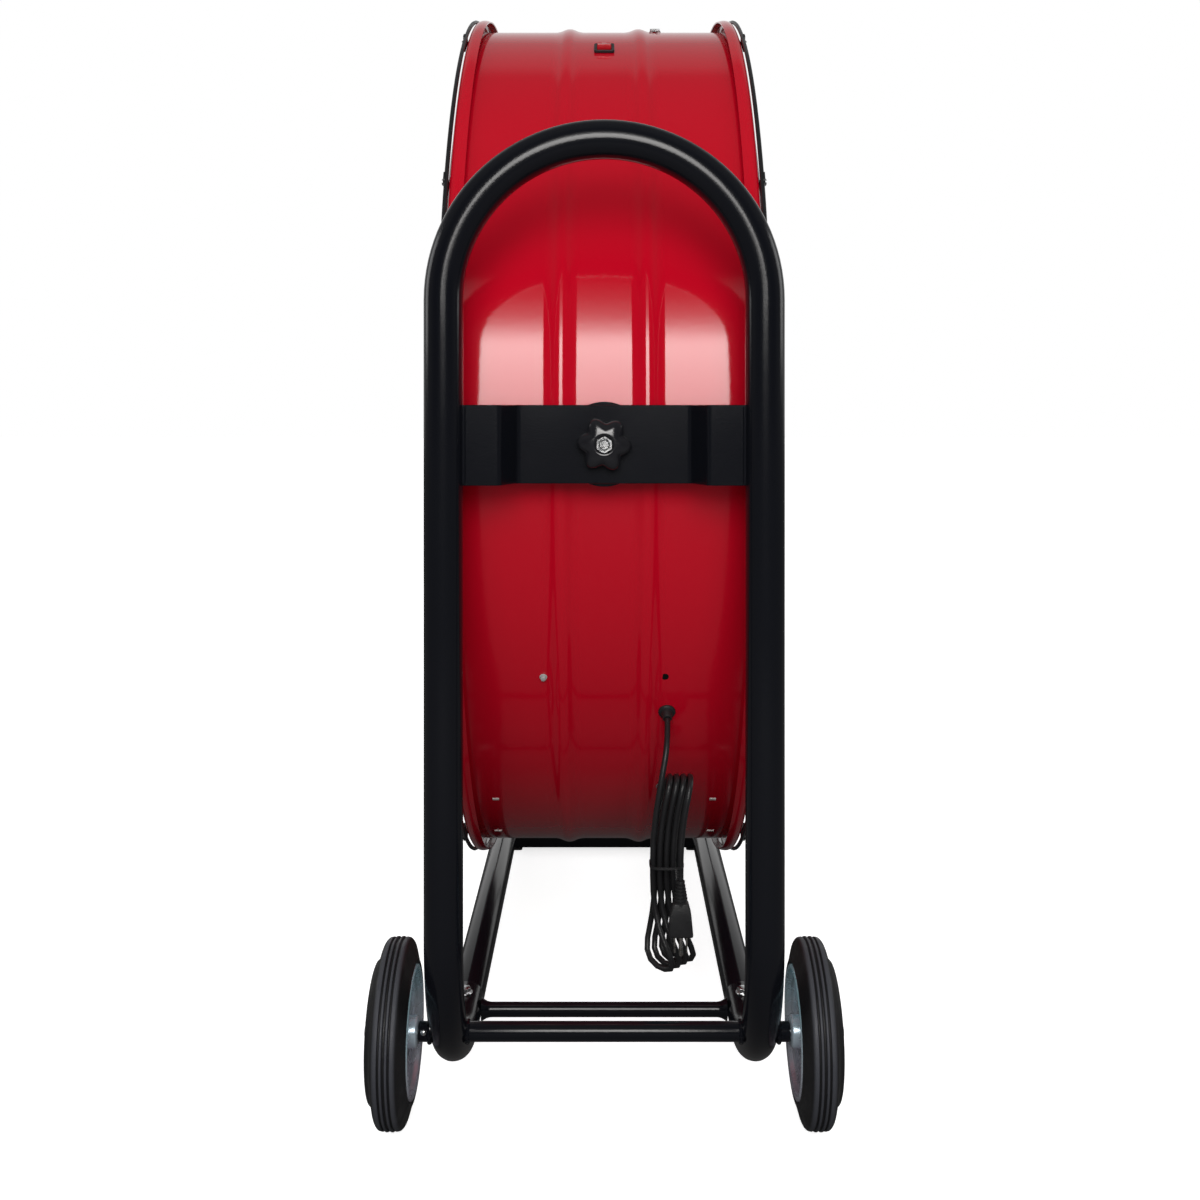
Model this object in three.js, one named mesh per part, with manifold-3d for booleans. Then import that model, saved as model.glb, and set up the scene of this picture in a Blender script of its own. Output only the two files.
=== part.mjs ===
// Drum fan on a wheeled two-arch frame.
// Millimetres. Air flows along X, the drum tilts about an axis along Y, and Z is up from the ground.
// The near side is at -Y. The drum's centre is modelled at Y = 0 and the whole is shifted at the end,
// so that the origin is at the middle of the frame's footprint.
import * as THREE from 'three';
import { mergeVertices } from 'three/addons/utils/BufferGeometryUtils.js';
import Module from 'manifold-3d';

const wasm = await Module();
wasm.setup();

// ---- driving dimensions ----------------------------------------------------------------------

const clearance = 0.3;          // running and seating gap between separate pieces
const pivotHeight = 676;        // tilt axis above the ground

const drumRadius = 553;         // outer skin of the drum wall
const drumHalfLength = 166;     // middle of the drum to the face of a rim
const drumSheet = 1.6;          // rolled steel wall
const drumFacets = 40;
const rimRise = 15.5;           // rim band above the drum skin
const rimBand = 16;             // width of the folded-back band
const rimCorner = 3;
const beadOffset = 45;          // raised stiffening beads, either side of the middle
const beadHalfWidth = 12;
const beadHeight = 4.6;

const guardWire = 5;            // outer ring of a guard
const guardRadialWire = 4;
const guardRingWire = 3;
const guardRingPitch = 75;
const guardFirstRing = 95;
const guardDiscRadius = 66;
const guardDiscSheet = 2;
const guardRadials = 6;
const guardWeld = 0.8;          // how far crossing wires sink into each other where they are welded
const tabCount = 12;            // screwed tabs that hold a guard to its rim
const tabWidth = 14;
const tabLength = 20;
const tabSheet = 2;

const tubeRadius = 19;          // frame tube
const tubeWall = 1.6;
const tubeSides = 10;
const archGap = 79;             // drum skin to the plane of an arch
const legSpacing = 310.4;       // between the two leg centres of an arch
const crownHeight = 816;        // centre of the handle's half circle
const railHeight = 43.4;
const footBendRadius = 158;     // where a leg turns back into a rail
const jointSetback = 228;       // arch plane to the end of the arch tube
const boltSetback = 198;        // arch plane to the frame bolts and the cross tube
const spigotLength = 52;
const crossTubeRadius = 8;
const footBarBack = 382;        // far arch plane to the foot bar
const footBarWidth = 24;
const footBarLength = 352;
const footPadHeight = 4;
const footPadLength = 44;

const frameBoltRadius = 4;
const frameBoltHead = 7.4;

const plateSheet = 4;           // pivot bracket between the legs
const plateHeight = 78;
const plateRecess = 38;         // how far its middle steps in towards the drum
const plateMiddleHalf = 83;
const plateFlatStart = 99;
const pivotDiscRadius = 42.3;
const pivotDiscThickness = 4;
const pivotNeckRadius = 27;
const pivotBoltRadius = 5;
const pivotWasherRadius = 13;
const pivotWasherThickness = 2;

const knobLobeRadius = 27;
const knobValleyRadius = 20.5;
const knobLobes = 6;
const knobThickness = 20;
const knobBevel = 2.5;
const knobNutRadius = 8.4;

const wheelRadius = 89;
const wheelInnerFace = 189;     // centre plane to the inner side of a tyre
const tyreWidth = 37;
const wheelOpening = 58;        // radius of the dished wheel inside its tyre
const wheelFacets = 16;
const wheelHubRadius = 15.5;
const axleRadius = 6.3;
const axleTubeRadius = 9.7;
const axleTubeHalfLength = 185;
const axleHalfLength = 239;
const axleSides = 12;

const bladeTipGap = 25;         // blade tips to the drum skin
const fanPlane = -98;
const bladeCount = 3;
const bladeRoot = 118;
const bladeSheet = 2.2;
const bladeRootChord = 190;
const bladeTipChord = 250;
const bladeRootPitch = 34;      // degrees
const bladeTipPitch = 19;
const bladeCamber = 16;
const hubRadius = 46;
const hubBehind = 24;           // hub's reach to either side of the blades' plane
const hubAhead = 20;
const hubWall = 20;
const spiderRadius = 176;
const spiderSheet = 5;
const spiderHalfWidths = [34, 26, 18];
const shaftRadius = 9.5;

const motorRadius = 84;
const motorLength = 118;
const motorCap = 24;
const armPlane = 67;            // bracket arms and their shell bolts
const armSheet = 5;
const armWidth = 42;
const armAngles = [16, 136, 256];
const armFootLength = 30;
const armHubRadius = 74;
const shellBoltRadius = 3.6;
const shellBoltHead = 6.8;

const switchAngle = 31;         // degrees from the top towards the near side
const switchLength = 30.5;
const switchWidth = 24.5;
const switchRise = 6.5;
const rockerLength = 23.4;
const rockerWidth = 17;
const switchDepth = 18;

const glandAngle = 122;
const glandAxial = 68;
const glandRadius = 9.4;
const glandRise = 12;
const plugHoleAngle = 117;
const plugHoleAxial = 65;

const cordRadius = 3.15;
const hankTurns = 4;
const hankTop = 320;
const hankWaist = 229;
const hankFoot = 113;
const hankAxial = 66;           // the waist's middle along the drum
const hankTopAxial = 13;        // the loops lean sideways above and below it
const hankFootAxial = 9;
const hankFootTwist = 52;       // and turn towards the side, in degrees
const hankPitch = 7.2;          // from one turn to the next at the waist
const hankFootPitch = 11.5;     // the turns fan out below the tie
const hankWaistHalf = 5.6;
const hankTopLobe = 17;
const hankFootLobe = 27;
const hankInset = 53;           // drum skin's nearest line back to the hank
const hankFootBack = 24;        // the loops swing back below the tie
const lastStrandForward = 11;   // the strand that carries the plug stands in front
const hankTurnSteps = 24;
const hankSides = 6;
const tieHeight = 3;
const tieThickness = 1.6;

// ---- shared values ---------------------------------------------------------------------------

const rimRadius = drumRadius + rimRise;
const archPlane = drumRadius + archGap;
const footBarSetForward = archPlane - footBarBack;
const fanRadius = drumRadius - bladeTipGap;
const hankDepth = -(drumRadius - hankInset);
const legX = legSpacing / 2;
const drumInside = drumRadius - drumSheet;
const axleSetback = footBendRadius * (1 - Math.SQRT1_2);
const axleY = -(archPlane - axleSetback);
const deg = Math.PI / 180;

const paintRed = { color: 0xb0061c, roughness: 0.18, metalness: 0.1 };
const paintBlack = { color: 0x15171b, roughness: 0.35, metalness: 0.3 };
const wireBlack = { color: 0x0f1012, roughness: 0.5, metalness: 0.2 };
const zincSteel = { color: 0xb9bdc2, roughness: 0.3, metalness: 0.95 };
const rubberBlack = { color: 0x141414, roughness: 0.85, metalness: 0 };
const plasticBlack = { color: 0x101113, roughness: 0.4, metalness: 0 };
const alloyGrey = { color: 0xa4a8ac, roughness: 0.4, metalness: 0.9 };
const motorGrey = { color: 0x3a3e44, roughness: 0.5, metalness: 0.5 };
const rockerRed = { color: 0xc4121c, roughness: 0.3, metalness: 0 };

// ---- helpers ---------------------------------------------------------------------------------

const model = new THREE.Group();

function piece(name, geometry, finish) {
  const mesh = new THREE.Mesh(closed(geometry), new THREE.MeshStandardMaterial(finish));
  mesh.name = name;
  model.add(mesh);
  return mesh;
}

// A closed geometry with shared corners only, faces turned outwards.
function closed(geometry) {
  const bare = geometry.clone();
  bare.deleteAttribute('normal');
  bare.deleteAttribute('uv');
  const merged = mergeVertices(bare, 1e-4);
  const p = merged.attributes.position;
  const index = Array.from(merged.index.array);
  const kept = [];
  let volume = 0;
  for (let i = 0; i < index.length; i += 3) {
    const [a, b, c] = [index[i], index[i + 1], index[i + 2]];
    if (a === b || b === c || c === a) continue;
    const va = new THREE.Vector3().fromBufferAttribute(p, a);
    const vb = new THREE.Vector3().fromBufferAttribute(p, b);
    const vc = new THREE.Vector3().fromBufferAttribute(p, c);
    volume += va.dot(vb.cross(vc));
    kept.push([a, b, c]);
  }
  const order = kept.flatMap(([a, b, c]) => (volume < 0 ? [a, c, b] : [a, b, c]));
  merged.setIndex(order);
  return merged;
}

function solid(geometry) {
  const g = closed(geometry);
  return new wasm.Manifold(new wasm.Mesh({
    numProp: 3,
    vertProperties: new Float32Array(g.attributes.position.array),
    triVerts: new Uint32Array(g.index.array),
  }));
}

function geometryOf(manifold) {
  const mesh = manifold.getMesh();
  const g = new THREE.BufferGeometry();
  g.setAttribute('position', new THREE.BufferAttribute(mesh.vertProperties, 3));
  g.setIndex(new THREE.BufferAttribute(mesh.triVerts, 1));
  return g;
}

function cut(geometry, ...tools) {
  return geometryOf(tools.reduce((body, tool) => body.subtract(solid(tool)), solid(geometry)));
}

function join(geometry, ...others) {
  return geometryOf(others.reduce((body, other) => body.add(solid(other)), solid(geometry)));
}

function common(geometry, other) {
  return geometryOf(solid(geometry).intersect(solid(other)));
}

// A profile of [radius, height] corners turned about an axis through the origin.
function turned(profile, facets, axis = 'y') {
  const g = new THREE.LatheGeometry(profile.map(([r, h]) => new THREE.Vector2(r, h)), facets);
  if (axis === 'x') g.rotateZ(-Math.PI / 2);
  if (axis === 'z') g.rotateX(Math.PI / 2);
  return g;
}

function looped(profile) {
  return [...profile, profile[0]];
}

function rod(radius, low, high) {
  return [[0, low], [radius, low], [radius, high], [0, high]];
}

function ring(outer, inner, low, high) {
  return looped([[inner, low], [outer, low], [outer, high], [inner, high]]);
}

// Both sides of a bent sheet whose middle line is given, as one closed outline.
function sheetOutline(line, thickness) {
  const sides = [[], []];
  line.forEach((point, i) => {
    const before = line[Math.max(i - 1, 0)];
    const after = line[Math.min(i + 1, line.length - 1)];
    const a = new THREE.Vector2(point[0] - before[0], point[1] - before[1]).normalize();
    const b = new THREE.Vector2(after[0] - point[0], after[1] - point[1]).normalize();
    const along = i === 0 ? b : i === line.length - 1 ? a : a.clone().add(b).normalize();
    const stretch = i === 0 || i === line.length - 1 ? 1 : 1 / along.dot(a);
    const off = thickness / 2 * stretch;
    sides[0].push([point[0] - along.y * off, point[1] + along.x * off]);
    sides[1].push([point[0] + along.y * off, point[1] - along.x * off]);
  });
  return [...sides[0], ...sides[1].reverse()];
}

function shapeOf(points, holes = []) {
  const shape = new THREE.Shape(points.map(([x, y]) => new THREE.Vector2(x, y)));
  for (const hole of holes) shape.holes.push(new THREE.Path(hole.map(([x, y]) => new THREE.Vector2(x, y))));
  return shape;
}

function polygon(radius, sides, start = 0) {
  const points = [];
  for (let i = 0; i < sides; i += 1) {
    const angle = start + 2 * Math.PI * i / sides;
    points.push([radius * Math.cos(angle), radius * Math.sin(angle)]);
  }
  return points;
}

function slab(outline, depth, holes = []) {
  return new THREE.ExtrudeGeometry(shapeOf(outline, holes), { depth, bevelEnabled: false });
}

// A route through chosen stations, each with its own direction of travel.
class Route extends THREE.Curve {
  constructor(stations) {
    super();
    this.stations = stations;
  }

  getPointAt(u) {
    return this.stations[Math.round(u * (this.stations.length - 1))].clone();
  }

  getSpacedPoints() {
    return this.stations.map(s => s.clone());
  }

  getTangentAt(u) {
    const last = this.stations.length - 1;
    const i = Math.round(u * last);
    const before = this.stations[Math.max(i - 1, 0)];
    const after = this.stations[Math.min(i + 1, last)];
    return after.clone().sub(before).normalize();
  }
}

function swept(stations, section, holes = []) {
  return new THREE.ExtrudeGeometry(shapeOf(section, holes), {
    steps: stations.length - 1,
    extrudePath: new Route(stations),
    bevelEnabled: false,
  });
}

// A bolt along +Y with its head's underside at the origin and its shank pointing to -Y.
function bolt(shank, length, head, headHeight) {
  const profile = [[0, -length], [shank, -length], [shank, 0], [head, 0], [head, headHeight], [0, headHeight]];
  return turned(profile, 6);
}

// Puts a geometry made about the top of the drum, +Z outwards, at an angle round the drum's axis.
function onDrum(geometry, angle, axial = 0) {
  return geometry.rotateX(angle * deg).translate(axial, 0, pivotHeight);
}

function mirrored(geometry, side) {
  return side < 0 ? geometry : geometry.rotateZ(Math.PI);
}

// ---- frame -----------------------------------------------------------------------------------

const v = (x, y, z) => new THREE.Vector3(x, y, z);

function archStations() {
  const stations = [];
  const footSteps = 5;
  const crownSteps = 14;
  stations.push(v(-legX, -archPlane + jointSetback, railHeight));
  for (let i = 0; i <= footSteps; i += 1) {
    const a = Math.PI / 2 * i / footSteps;
    const y = -archPlane + footBendRadius * (1 - Math.sin(a));
    stations.push(v(-legX, y, railHeight + footBendRadius * (1 - Math.cos(a))));
  }
  for (let i = 0; i <= crownSteps; i += 1) {
    const a = Math.PI * (1 - i / crownSteps);
    stations.push(v(legX * Math.cos(a), -archPlane, crownHeight + legX * Math.sin(a)));
  }
  const mirroredFoot = stations.slice(0, footSteps + 2).reverse();
  return [...stations, ...mirroredFoot.map(s => v(-s.x, s.y, s.z))];
}

const tubeInside = tubeRadius - tubeWall;
const tubeFlat = tubeRadius * Math.cos(Math.PI / tubeSides);   // middle of the tube to one of its flats
const axleHoleReach = legX + 2 * tubeRadius;
const axleHole = turned(rod(axleTubeRadius + clearance, -axleHoleReach, axleHoleReach), axleSides, 'x')
  .translate(0, axleY, wheelRadius);

function frameBoltHoles() {
  return [-1, 1].map(side => turned(rod(frameBoltRadius + clearance, 0, 2 * railHeight), 6, 'z')
    .translate(side * legX, -archPlane + boltSetback, 0));
}

const archTube = swept(archStations(), polygon(tubeRadius, tubeSides), [polygon(tubeInside, tubeSides)]);
piece('near_arch', cut(archTube, axleHole, ...frameBoltHoles()), paintBlack);
piece('far_arch', mirrored(cut(archTube, ...frameBoltHoles()), 1), paintBlack);

const railEnd = archPlane - jointSetback;
const spigotRadius = (tubeInside - clearance) * Math.cos(Math.PI / tubeSides);
const railBore = spigotRadius - tubeWall;
const railProfile = looped([
  [railBore, -railEnd - spigotLength], [spigotRadius, -railEnd - spigotLength],
  [spigotRadius, -railEnd + clearance], [tubeRadius, -railEnd + clearance],
  [tubeRadius, railEnd - clearance], [spigotRadius, railEnd - clearance],
  [spigotRadius, railEnd + spigotLength], [railBore, railEnd + spigotLength],
]);
const railHoles = [...frameBoltHoles(), ...frameBoltHoles().map(hole => mirrored(hole, 1))];
for (const [name, side] of [['left_rail', -1], ['right_rail', 1]]) {
  const rail = turned(railProfile, tubeSides).translate(side * legX, 0, railHeight);
  piece(name, cut(rail, ...railHoles), paintBlack);
}

// Each frame bolt goes down through the tube and its spigot, with its nut underneath.
const boltGrip = 2 * tubeRadius + 2 * clearance;
const frameNutHeight = 6;
const frameBolt = turned([
  [0, -boltGrip - frameNutHeight - 3], [frameBoltRadius, -boltGrip - frameNutHeight - 3],
  [frameBoltRadius, -boltGrip - frameNutHeight], [frameBoltHead, -boltGrip - frameNutHeight],
  [frameBoltHead, -boltGrip], [frameBoltRadius, -boltGrip],
  [frameBoltRadius, 0], [frameBoltHead, 0], [frameBoltHead, 5.5], [0, 5.5],
], 6, 'z').translate(0, 0, railHeight + tubeRadius + clearance);
for (const [sideName, x] of [['left', -legX], ['right', legX]]) {
  for (const [endName, y] of [['near', -archPlane + boltSetback], ['far', archPlane - boltSetback]]) {
    piece(`${endName}_${sideName}_frame_bolt`, frameBolt.clone().translate(x, y, 0), zincSteel);
  }
}

const crossReach = legX - tubeFlat - clearance;
const crossTube = turned(ring(crossTubeRadius, crossTubeRadius - tubeWall, -crossReach, crossReach), 10, 'x');
piece('near_cross_tube', crossTube.clone().translate(0, -archPlane + boltSetback, railHeight), paintBlack);
piece('far_cross_tube', crossTube.clone().translate(0, archPlane - boltSetback, railHeight), paintBlack);

// The foot bar lies under the rails and carries the fan with the wheels.
const footBarTop = railHeight - tubeRadius - clearance;
const footBarHeight = footBarTop - footPadHeight;
const footBar = new THREE.BoxGeometry(footBarLength, footBarWidth, footBarHeight);
const footBarBore = new THREE.BoxGeometry(
  footBarLength + 2,
  footBarWidth - 2 * tubeWall,
  footBarHeight - 2 * tubeWall,
);
piece('foot_bar', cut(footBar, footBarBore)
  .translate(0, footBarSetForward, footPadHeight + footBarHeight / 2), paintBlack);

const padX = footBarLength / 2 - footPadLength / 2;
const pad = slab([
  [-footPadLength / 2 + 4, -footBarWidth / 2], [footPadLength / 2 - 4, -footBarWidth / 2],
  [footPadLength / 2, -footBarWidth / 2 + 4], [footPadLength / 2, footBarWidth / 2 - 4],
  [footPadLength / 2 - 4, footBarWidth / 2], [-footPadLength / 2 + 4, footBarWidth / 2],
  [-footPadLength / 2, footBarWidth / 2 - 4], [-footPadLength / 2, -footBarWidth / 2 + 4],
], footPadHeight - clearance);
piece('left_foot_pad', pad.clone().translate(-padX, footBarSetForward, 0), rubberBlack);
piece('right_foot_pad', pad.clone().translate(padX, footBarSetForward, 0), rubberBlack);

// ---- axle and wheels -------------------------------------------------------------------------

function onAxle(profile, facets = axleSides) {
  return turned(profile, facets, 'x').translate(0, axleY, wheelRadius);
}

function bored(radius, sides = axleSides) {
  return radius / Math.cos(Math.PI / sides);
}

const axleTubeBore = bored(axleRadius + clearance);
const axleTube = onAxle(ring(axleTubeRadius, axleTubeBore, -axleTubeHalfLength, axleTubeHalfLength));
piece('axle_tube', axleTube, paintBlack);

const cotterX = axleHalfLength - 5;
const cotterRadius = 1.8;
const cotterHole = new THREE.CylinderGeometry(cotterRadius + clearance, cotterRadius + clearance, 40, 6);
piece('axle', cut(
  onAxle(rod(axleRadius, -axleHalfLength, axleHalfLength)),
  cotterHole.clone().rotateX(Math.PI / 2).translate(-cotterX, axleY, wheelRadius),
  cotterHole.clone().rotateX(Math.PI / 2).translate(cotterX, axleY, wheelRadius),
), zincSteel);

const cotter = new THREE.CylinderGeometry(cotterRadius, cotterRadius, 24, 6).rotateX(Math.PI / 2);
piece('left_cotter_pin', cotter.clone().translate(-cotterX, axleY, wheelRadius), zincSteel);
piece('right_cotter_pin', cotter.clone().translate(cotterX, axleY, wheelRadius), zincSteel);

const hubInner = axleTubeHalfLength + clearance;
const hubOuter = cotterX - cotterRadius - clearance;

// Tyre with three ribs and two grooves, and a lip round the wheel. Measured from its own middle.
const tyreHalf = tyreWidth / 2;
const tyreSeat = wheelOpening + 5;
const ribHalf = 2.4;             // half of a rib, and the groove beside it
const grooveWidth = 2;
const lipWidth = 6;              // raised lip of the tyre round the wheel
const grooveDepth = 2.5;
const tyreSide = [
  [tyreSeat + clearance, tyreHalf], [tyreSeat + lipWidth, tyreHalf],
  [tyreSeat + lipWidth + 1.5, tyreHalf - 2.5], [wheelRadius - 3, tyreHalf - 5.3],
  [wheelRadius, tyreHalf - 8], [wheelRadius, ribHalf + grooveWidth],
  [wheelRadius - grooveDepth, ribHalf + grooveWidth / 2], [wheelRadius, ribHalf],
];
const tyreProfile = looped([...tyreSide.map(([r, x]) => [r, -x]), ...tyreSide.slice().reverse()]);
const rimSheet = 2;
const rimWell = tyreSeat - rimSheet / 2;
const rimLip = tyreHalf - rimSheet / 2;
const dishDepth = 9;             // the disc sits towards the frame
const dishLine = [
  [wheelHubRadius + clearance, -2], [wheelHubRadius + 12, -2], [wheelHubRadius + 20, -dishDepth],
  [wheelOpening - 6, -dishDepth], [wheelOpening, -rimLip], [rimWell, -rimLip], [rimWell, rimLip],
  [wheelOpening, rimLip],
];
const wheelMiddle = wheelInnerFace + tyreHalf;
for (const [name, side] of [['left', -1], ['right', 1]]) {
  const outward = profile => onAxle(profile.map(([r, x]) => [r, side * x]), wheelFacets);
  const move = geometry => geometry.translate(side * wheelMiddle, 0, 0);
  piece(`${name}_tyre`, move(outward(tyreProfile)), rubberBlack);
  piece(`${name}_wheel_disc`, move(outward(looped(sheetOutline(dishLine, rimSheet)))), zincSteel);
  const hubProfile = ring(wheelHubRadius, bored(axleRadius + clearance), side * hubInner, side * hubOuter);
  piece(`${name}_wheel_hub`, onAxle(hubProfile), zincSteel);
}

// ---- pivot brackets, bosses, bolts and knobs ---------------------------------------------------

const plateFront = archPlane - plateRecess + plateSheet / 2;
const plateBack = plateFront - plateSheet;
const plateEnd = legX - tubeFlat - clearance;
const plateLine = [
  [-plateEnd, archPlane], [-plateFlatStart, archPlane], [-plateMiddleHalf, archPlane - plateRecess],
  [plateMiddleHalf, archPlane - plateRecess], [plateFlatStart, archPlane], [plateEnd, archPlane],
];
const pivotHole = turned(rod(bored(pivotBoltRadius + clearance), 0, 2 * archPlane), axleSides)
  .translate(0, 0, pivotHeight);
const plate = slab(sheetOutline(plateLine, plateSheet), plateHeight)
  .translate(0, 0, pivotHeight - plateHeight / 2);
const farPlate = cut(plate, pivotHole);
piece('far_bracket', farPlate, paintBlack);
piece('near_bracket', mirrored(farPlate.clone(), 1), paintBlack);

const skinCutter = turned(rod((drumRadius + clearance), -drumHalfLength, drumHalfLength), drumFacets, 'x');
const bossBase = drumRadius - 6;
const bossFace = plateBack - clearance;
const bossProfile = looped([
  [bored(pivotBoltRadius + clearance), bossBase], [pivotNeckRadius, bossBase],
  [pivotNeckRadius, bossFace - pivotDiscThickness], [pivotDiscRadius, bossFace - pivotDiscThickness],
  [pivotDiscRadius, bossFace], [bored(pivotBoltRadius + clearance), bossFace],
]);
const boss = cut(turned(bossProfile, 18), skinCutter).translate(0, 0, pivotHeight);
piece('far_pivot_boss', boss, paintBlack);
piece('near_pivot_boss', mirrored(boss.clone(), 1), paintBlack);

const washerBase = plateFront + clearance;
const knobBase = washerBase + pivotWasherThickness + clearance;
const knobFront = knobBase + knobThickness;
const nutHeight = 5;
const pivotBoltEnd = knobFront + 3;
const pivotBore = bored(pivotBoltRadius + clearance);
const washerProfile = ring(pivotWasherRadius, pivotBore, washerBase, washerBase + pivotWasherThickness);
const boltProfile = [
  [0, drumInside - 6], [12, drumInside - 6], [13, drumInside - 3], [13, drumInside - 1.5],
  [pivotBoltRadius, drumInside - 1.5], [pivotBoltRadius, pivotBoltEnd], [0, pivotBoltEnd],
];
function knobOutline() {
  const points = [];
  const count = knobLobes * 4;
  for (let i = 0; i < count; i += 1) {
    const angle = 2 * Math.PI * i / count;
    const swell = (0.5 + 0.5 * Math.cos(knobLobes * angle)) ** 0.8;
    const r = knobValleyRadius - knobBevel + (knobLobeRadius - knobValleyRadius) * swell;
    points.push([r * Math.cos(angle - 5 * deg), r * Math.sin(angle - 5 * deg)]);
  }
  return points;
}
const knobBody = new THREE.ExtrudeGeometry(shapeOf(knobOutline()), {
  depth: knobThickness - 2 * knobBevel,
  bevelThickness: knobBevel,
  bevelSize: knobBevel,
  bevelSegments: 1,
}).rotateX(-Math.PI / 2).translate(0, knobBase + knobBevel, 0);
const knobHole = turned(rod(bored(pivotBoltRadius + clearance), 0, 2 * archPlane), axleSides);
const nutBase = knobFront - nutHeight;
const knobPocket = turned(rod(bored(knobNutRadius + clearance, 6), nutBase - clearance, 2 * archPlane), 6);
const knob = cut(knobBody, knobHole, knobPocket).translate(0, 0, pivotHeight);
const nutBore = bored(pivotBoltRadius + clearance, 6);
const knobNut = turned(ring(knobNutRadius, nutBore, nutBase, knobFront + 1), 6).translate(0, 0, pivotHeight);
for (const [name, side] of [['near', -1], ['far', 1]]) {
  const place = geometry => mirrored(geometry.clone(), -side);
  const lathed = profile => place(turned(profile, axleSides).translate(0, 0, pivotHeight));
  piece(`${name}_pivot_washer`, lathed(washerProfile), zincSteel);
  piece(`${name}_pivot_bolt`, lathed(boltProfile), zincSteel);
  piece(`${name}_knob`, place(knob), plasticBlack);
  piece(`${name}_knob_nut`, place(knobNut), zincSteel);
}

// ---- drum shell --------------------------------------------------------------------------------

function shellLine() {
  const skin = drumRadius - drumSheet / 2;
  const band = rimRadius - drumSheet / 2;
  const face = drumHalfLength - drumSheet / 2;
  const half = [
    [band, -face + rimBand], [band, -face + rimCorner], [band - rimCorner, -face],
    [skin + rimCorner, -face], [skin, -face + rimCorner],
    [skin, -beadOffset - beadHalfWidth], [skin + beadHeight, -beadOffset - beadHalfWidth / 3],
    [skin + beadHeight, -beadOffset + beadHalfWidth / 3], [skin, -beadOffset + beadHalfWidth],
  ];
  return [...half, ...half.map(([r, x]) => [r, -x]).reverse()];
}

function radialHole(radius, angle, axial, sides) {
  const hole = turned(rod(bored(radius + clearance, sides), drumRadius - 40, drumRadius + 40), sides, 'z');
  return onDrum(hole, angle, axial);
}

const bossHoles = [90, 270].map(angle => radialHole(pivotBoltRadius, angle, 0, axleSides));
const armHoles = armAngles.map(angle => radialHole(shellBoltRadius, angle, armPlane, 6));
const glandHole = radialHole(glandRadius - 2, glandAngle, glandAxial, 12);
const shellHoles = [-1, 1].map(side => radialHole(shellBoltRadius, plugHoleAngle, side * plugHoleAxial, 6));
const switchHole = onDrum(
  new THREE.BoxGeometry(switchWidth - 3 + 2 * clearance, switchLength - 3 + 2 * clearance, 4 * switchDepth)
    .translate(0, 0, drumRadius),
  switchAngle,
);
const shellProfile = looped(sheetOutline(shellLine(), drumSheet));
const shell = turned(shellProfile, drumFacets, 'x').translate(0, 0, pivotHeight);
piece('drum_shell', cut(shell, ...bossHoles, ...armHoles, glandHole, ...shellHoles, switchHole), paintRed);

const strayBolt = bolt(shellBoltRadius, 10, shellBoltHead, 4.5).rotateX(Math.PI / 2)
  .translate(0, 0, drumRadius + clearance);
piece('shell_bolt', onDrum(strayBolt, plugHoleAngle, -plugHoleAxial), alloyGrey);

// ---- guards ------------------------------------------------------------------------------------

const guardPlane = drumHalfLength + clearance + guardWire / 2;
const guardRadius = rimRadius - guardWire / 2;
const ringPlane = guardPlane + (guardRadialWire + guardRingWire) / 2 - guardWeld;

function wireRing(radius, wire, plane, facets) {
  return new THREE.TorusGeometry(radius, wire / 2, 3, facets).rotateY(Math.PI / 2).translate(plane, 0, 0);
}

function atAngles(geometry, count, start = 0) {
  const copies = [];
  for (let i = 0; i < count; i += 1) {
    copies.push(geometry.clone().rotateX(start + 2 * Math.PI * i / count));
  }
  return copies;
}

function guard() {
  const rings = [];
  for (let r = guardFirstRing; r < guardRadius - guardRingPitch / 2; r += guardRingPitch) {
    rings.push(wireRing(r, guardRingWire, ringPlane, Math.max(12, Math.round(30 * r / guardRadius))));
  }
  const from = guardDiscRadius / 2;
  const radial = new THREE.CylinderGeometry(guardRadialWire / 2, guardRadialWire / 2, guardRadius - from, 4)
    .translate(0, (from + guardRadius) / 2, guardPlane).rotateY(Math.PI / 2);
  const tab = new THREE.BoxGeometry(tabSheet, tabWidth, tabLength)
    .translate(guardPlane + guardWire / 4 + tabSheet / 2, 0, rimRadius - tabLength / 2);
  const discLow = guardPlane + guardRadialWire / 2 - guardWeld;
  const disc = turned(rod(guardDiscRadius, discLow, discLow + guardDiscSheet), 16, 'x');
  return join(
    wireRing(guardRadius, guardWire, guardPlane, drumFacets),
    ...rings,
    ...atAngles(radial, guardRadials, Math.PI / guardRadials),
    ...atAngles(tab, tabCount),
    disc,
  );
}

for (const [name, side] of [['intake', -1], ['outlet', 1]]) {
  piece(`${name}_guard`, mirrored(guard(), -side).translate(0, 0, pivotHeight), wireBlack);
}

// ---- motor and its three-armed bracket -----------------------------------------------------------

const insideCutter = turned(rod(drumInside - clearance, -drumHalfLength, drumHalfLength), drumFacets, 'x');
const armSheetPlane = armPlane - armFootLength / 2 + armSheet / 2;
const motorBack = armSheetPlane - armSheet / 2 - clearance;
const motorFront = motorBack - motorLength;

function arm(angle) {
  const from = armHubRadius - 12;
  const reach = drumRadius * Math.cos(armWidth / 2 / drumRadius);
  const strip = new THREE.BoxGeometry(armSheet, armWidth, reach - from).translate(0, 0, (reach + from) / 2);
  const foot = new THREE.BoxGeometry(armFootLength, armWidth, 16)
    .translate(armFootLength / 2 - armSheet / 2, 0, drumInside - 5.5);
  return join(strip, foot).rotateX(angle * deg).translate(armSheetPlane, 0, 0);
}

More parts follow.
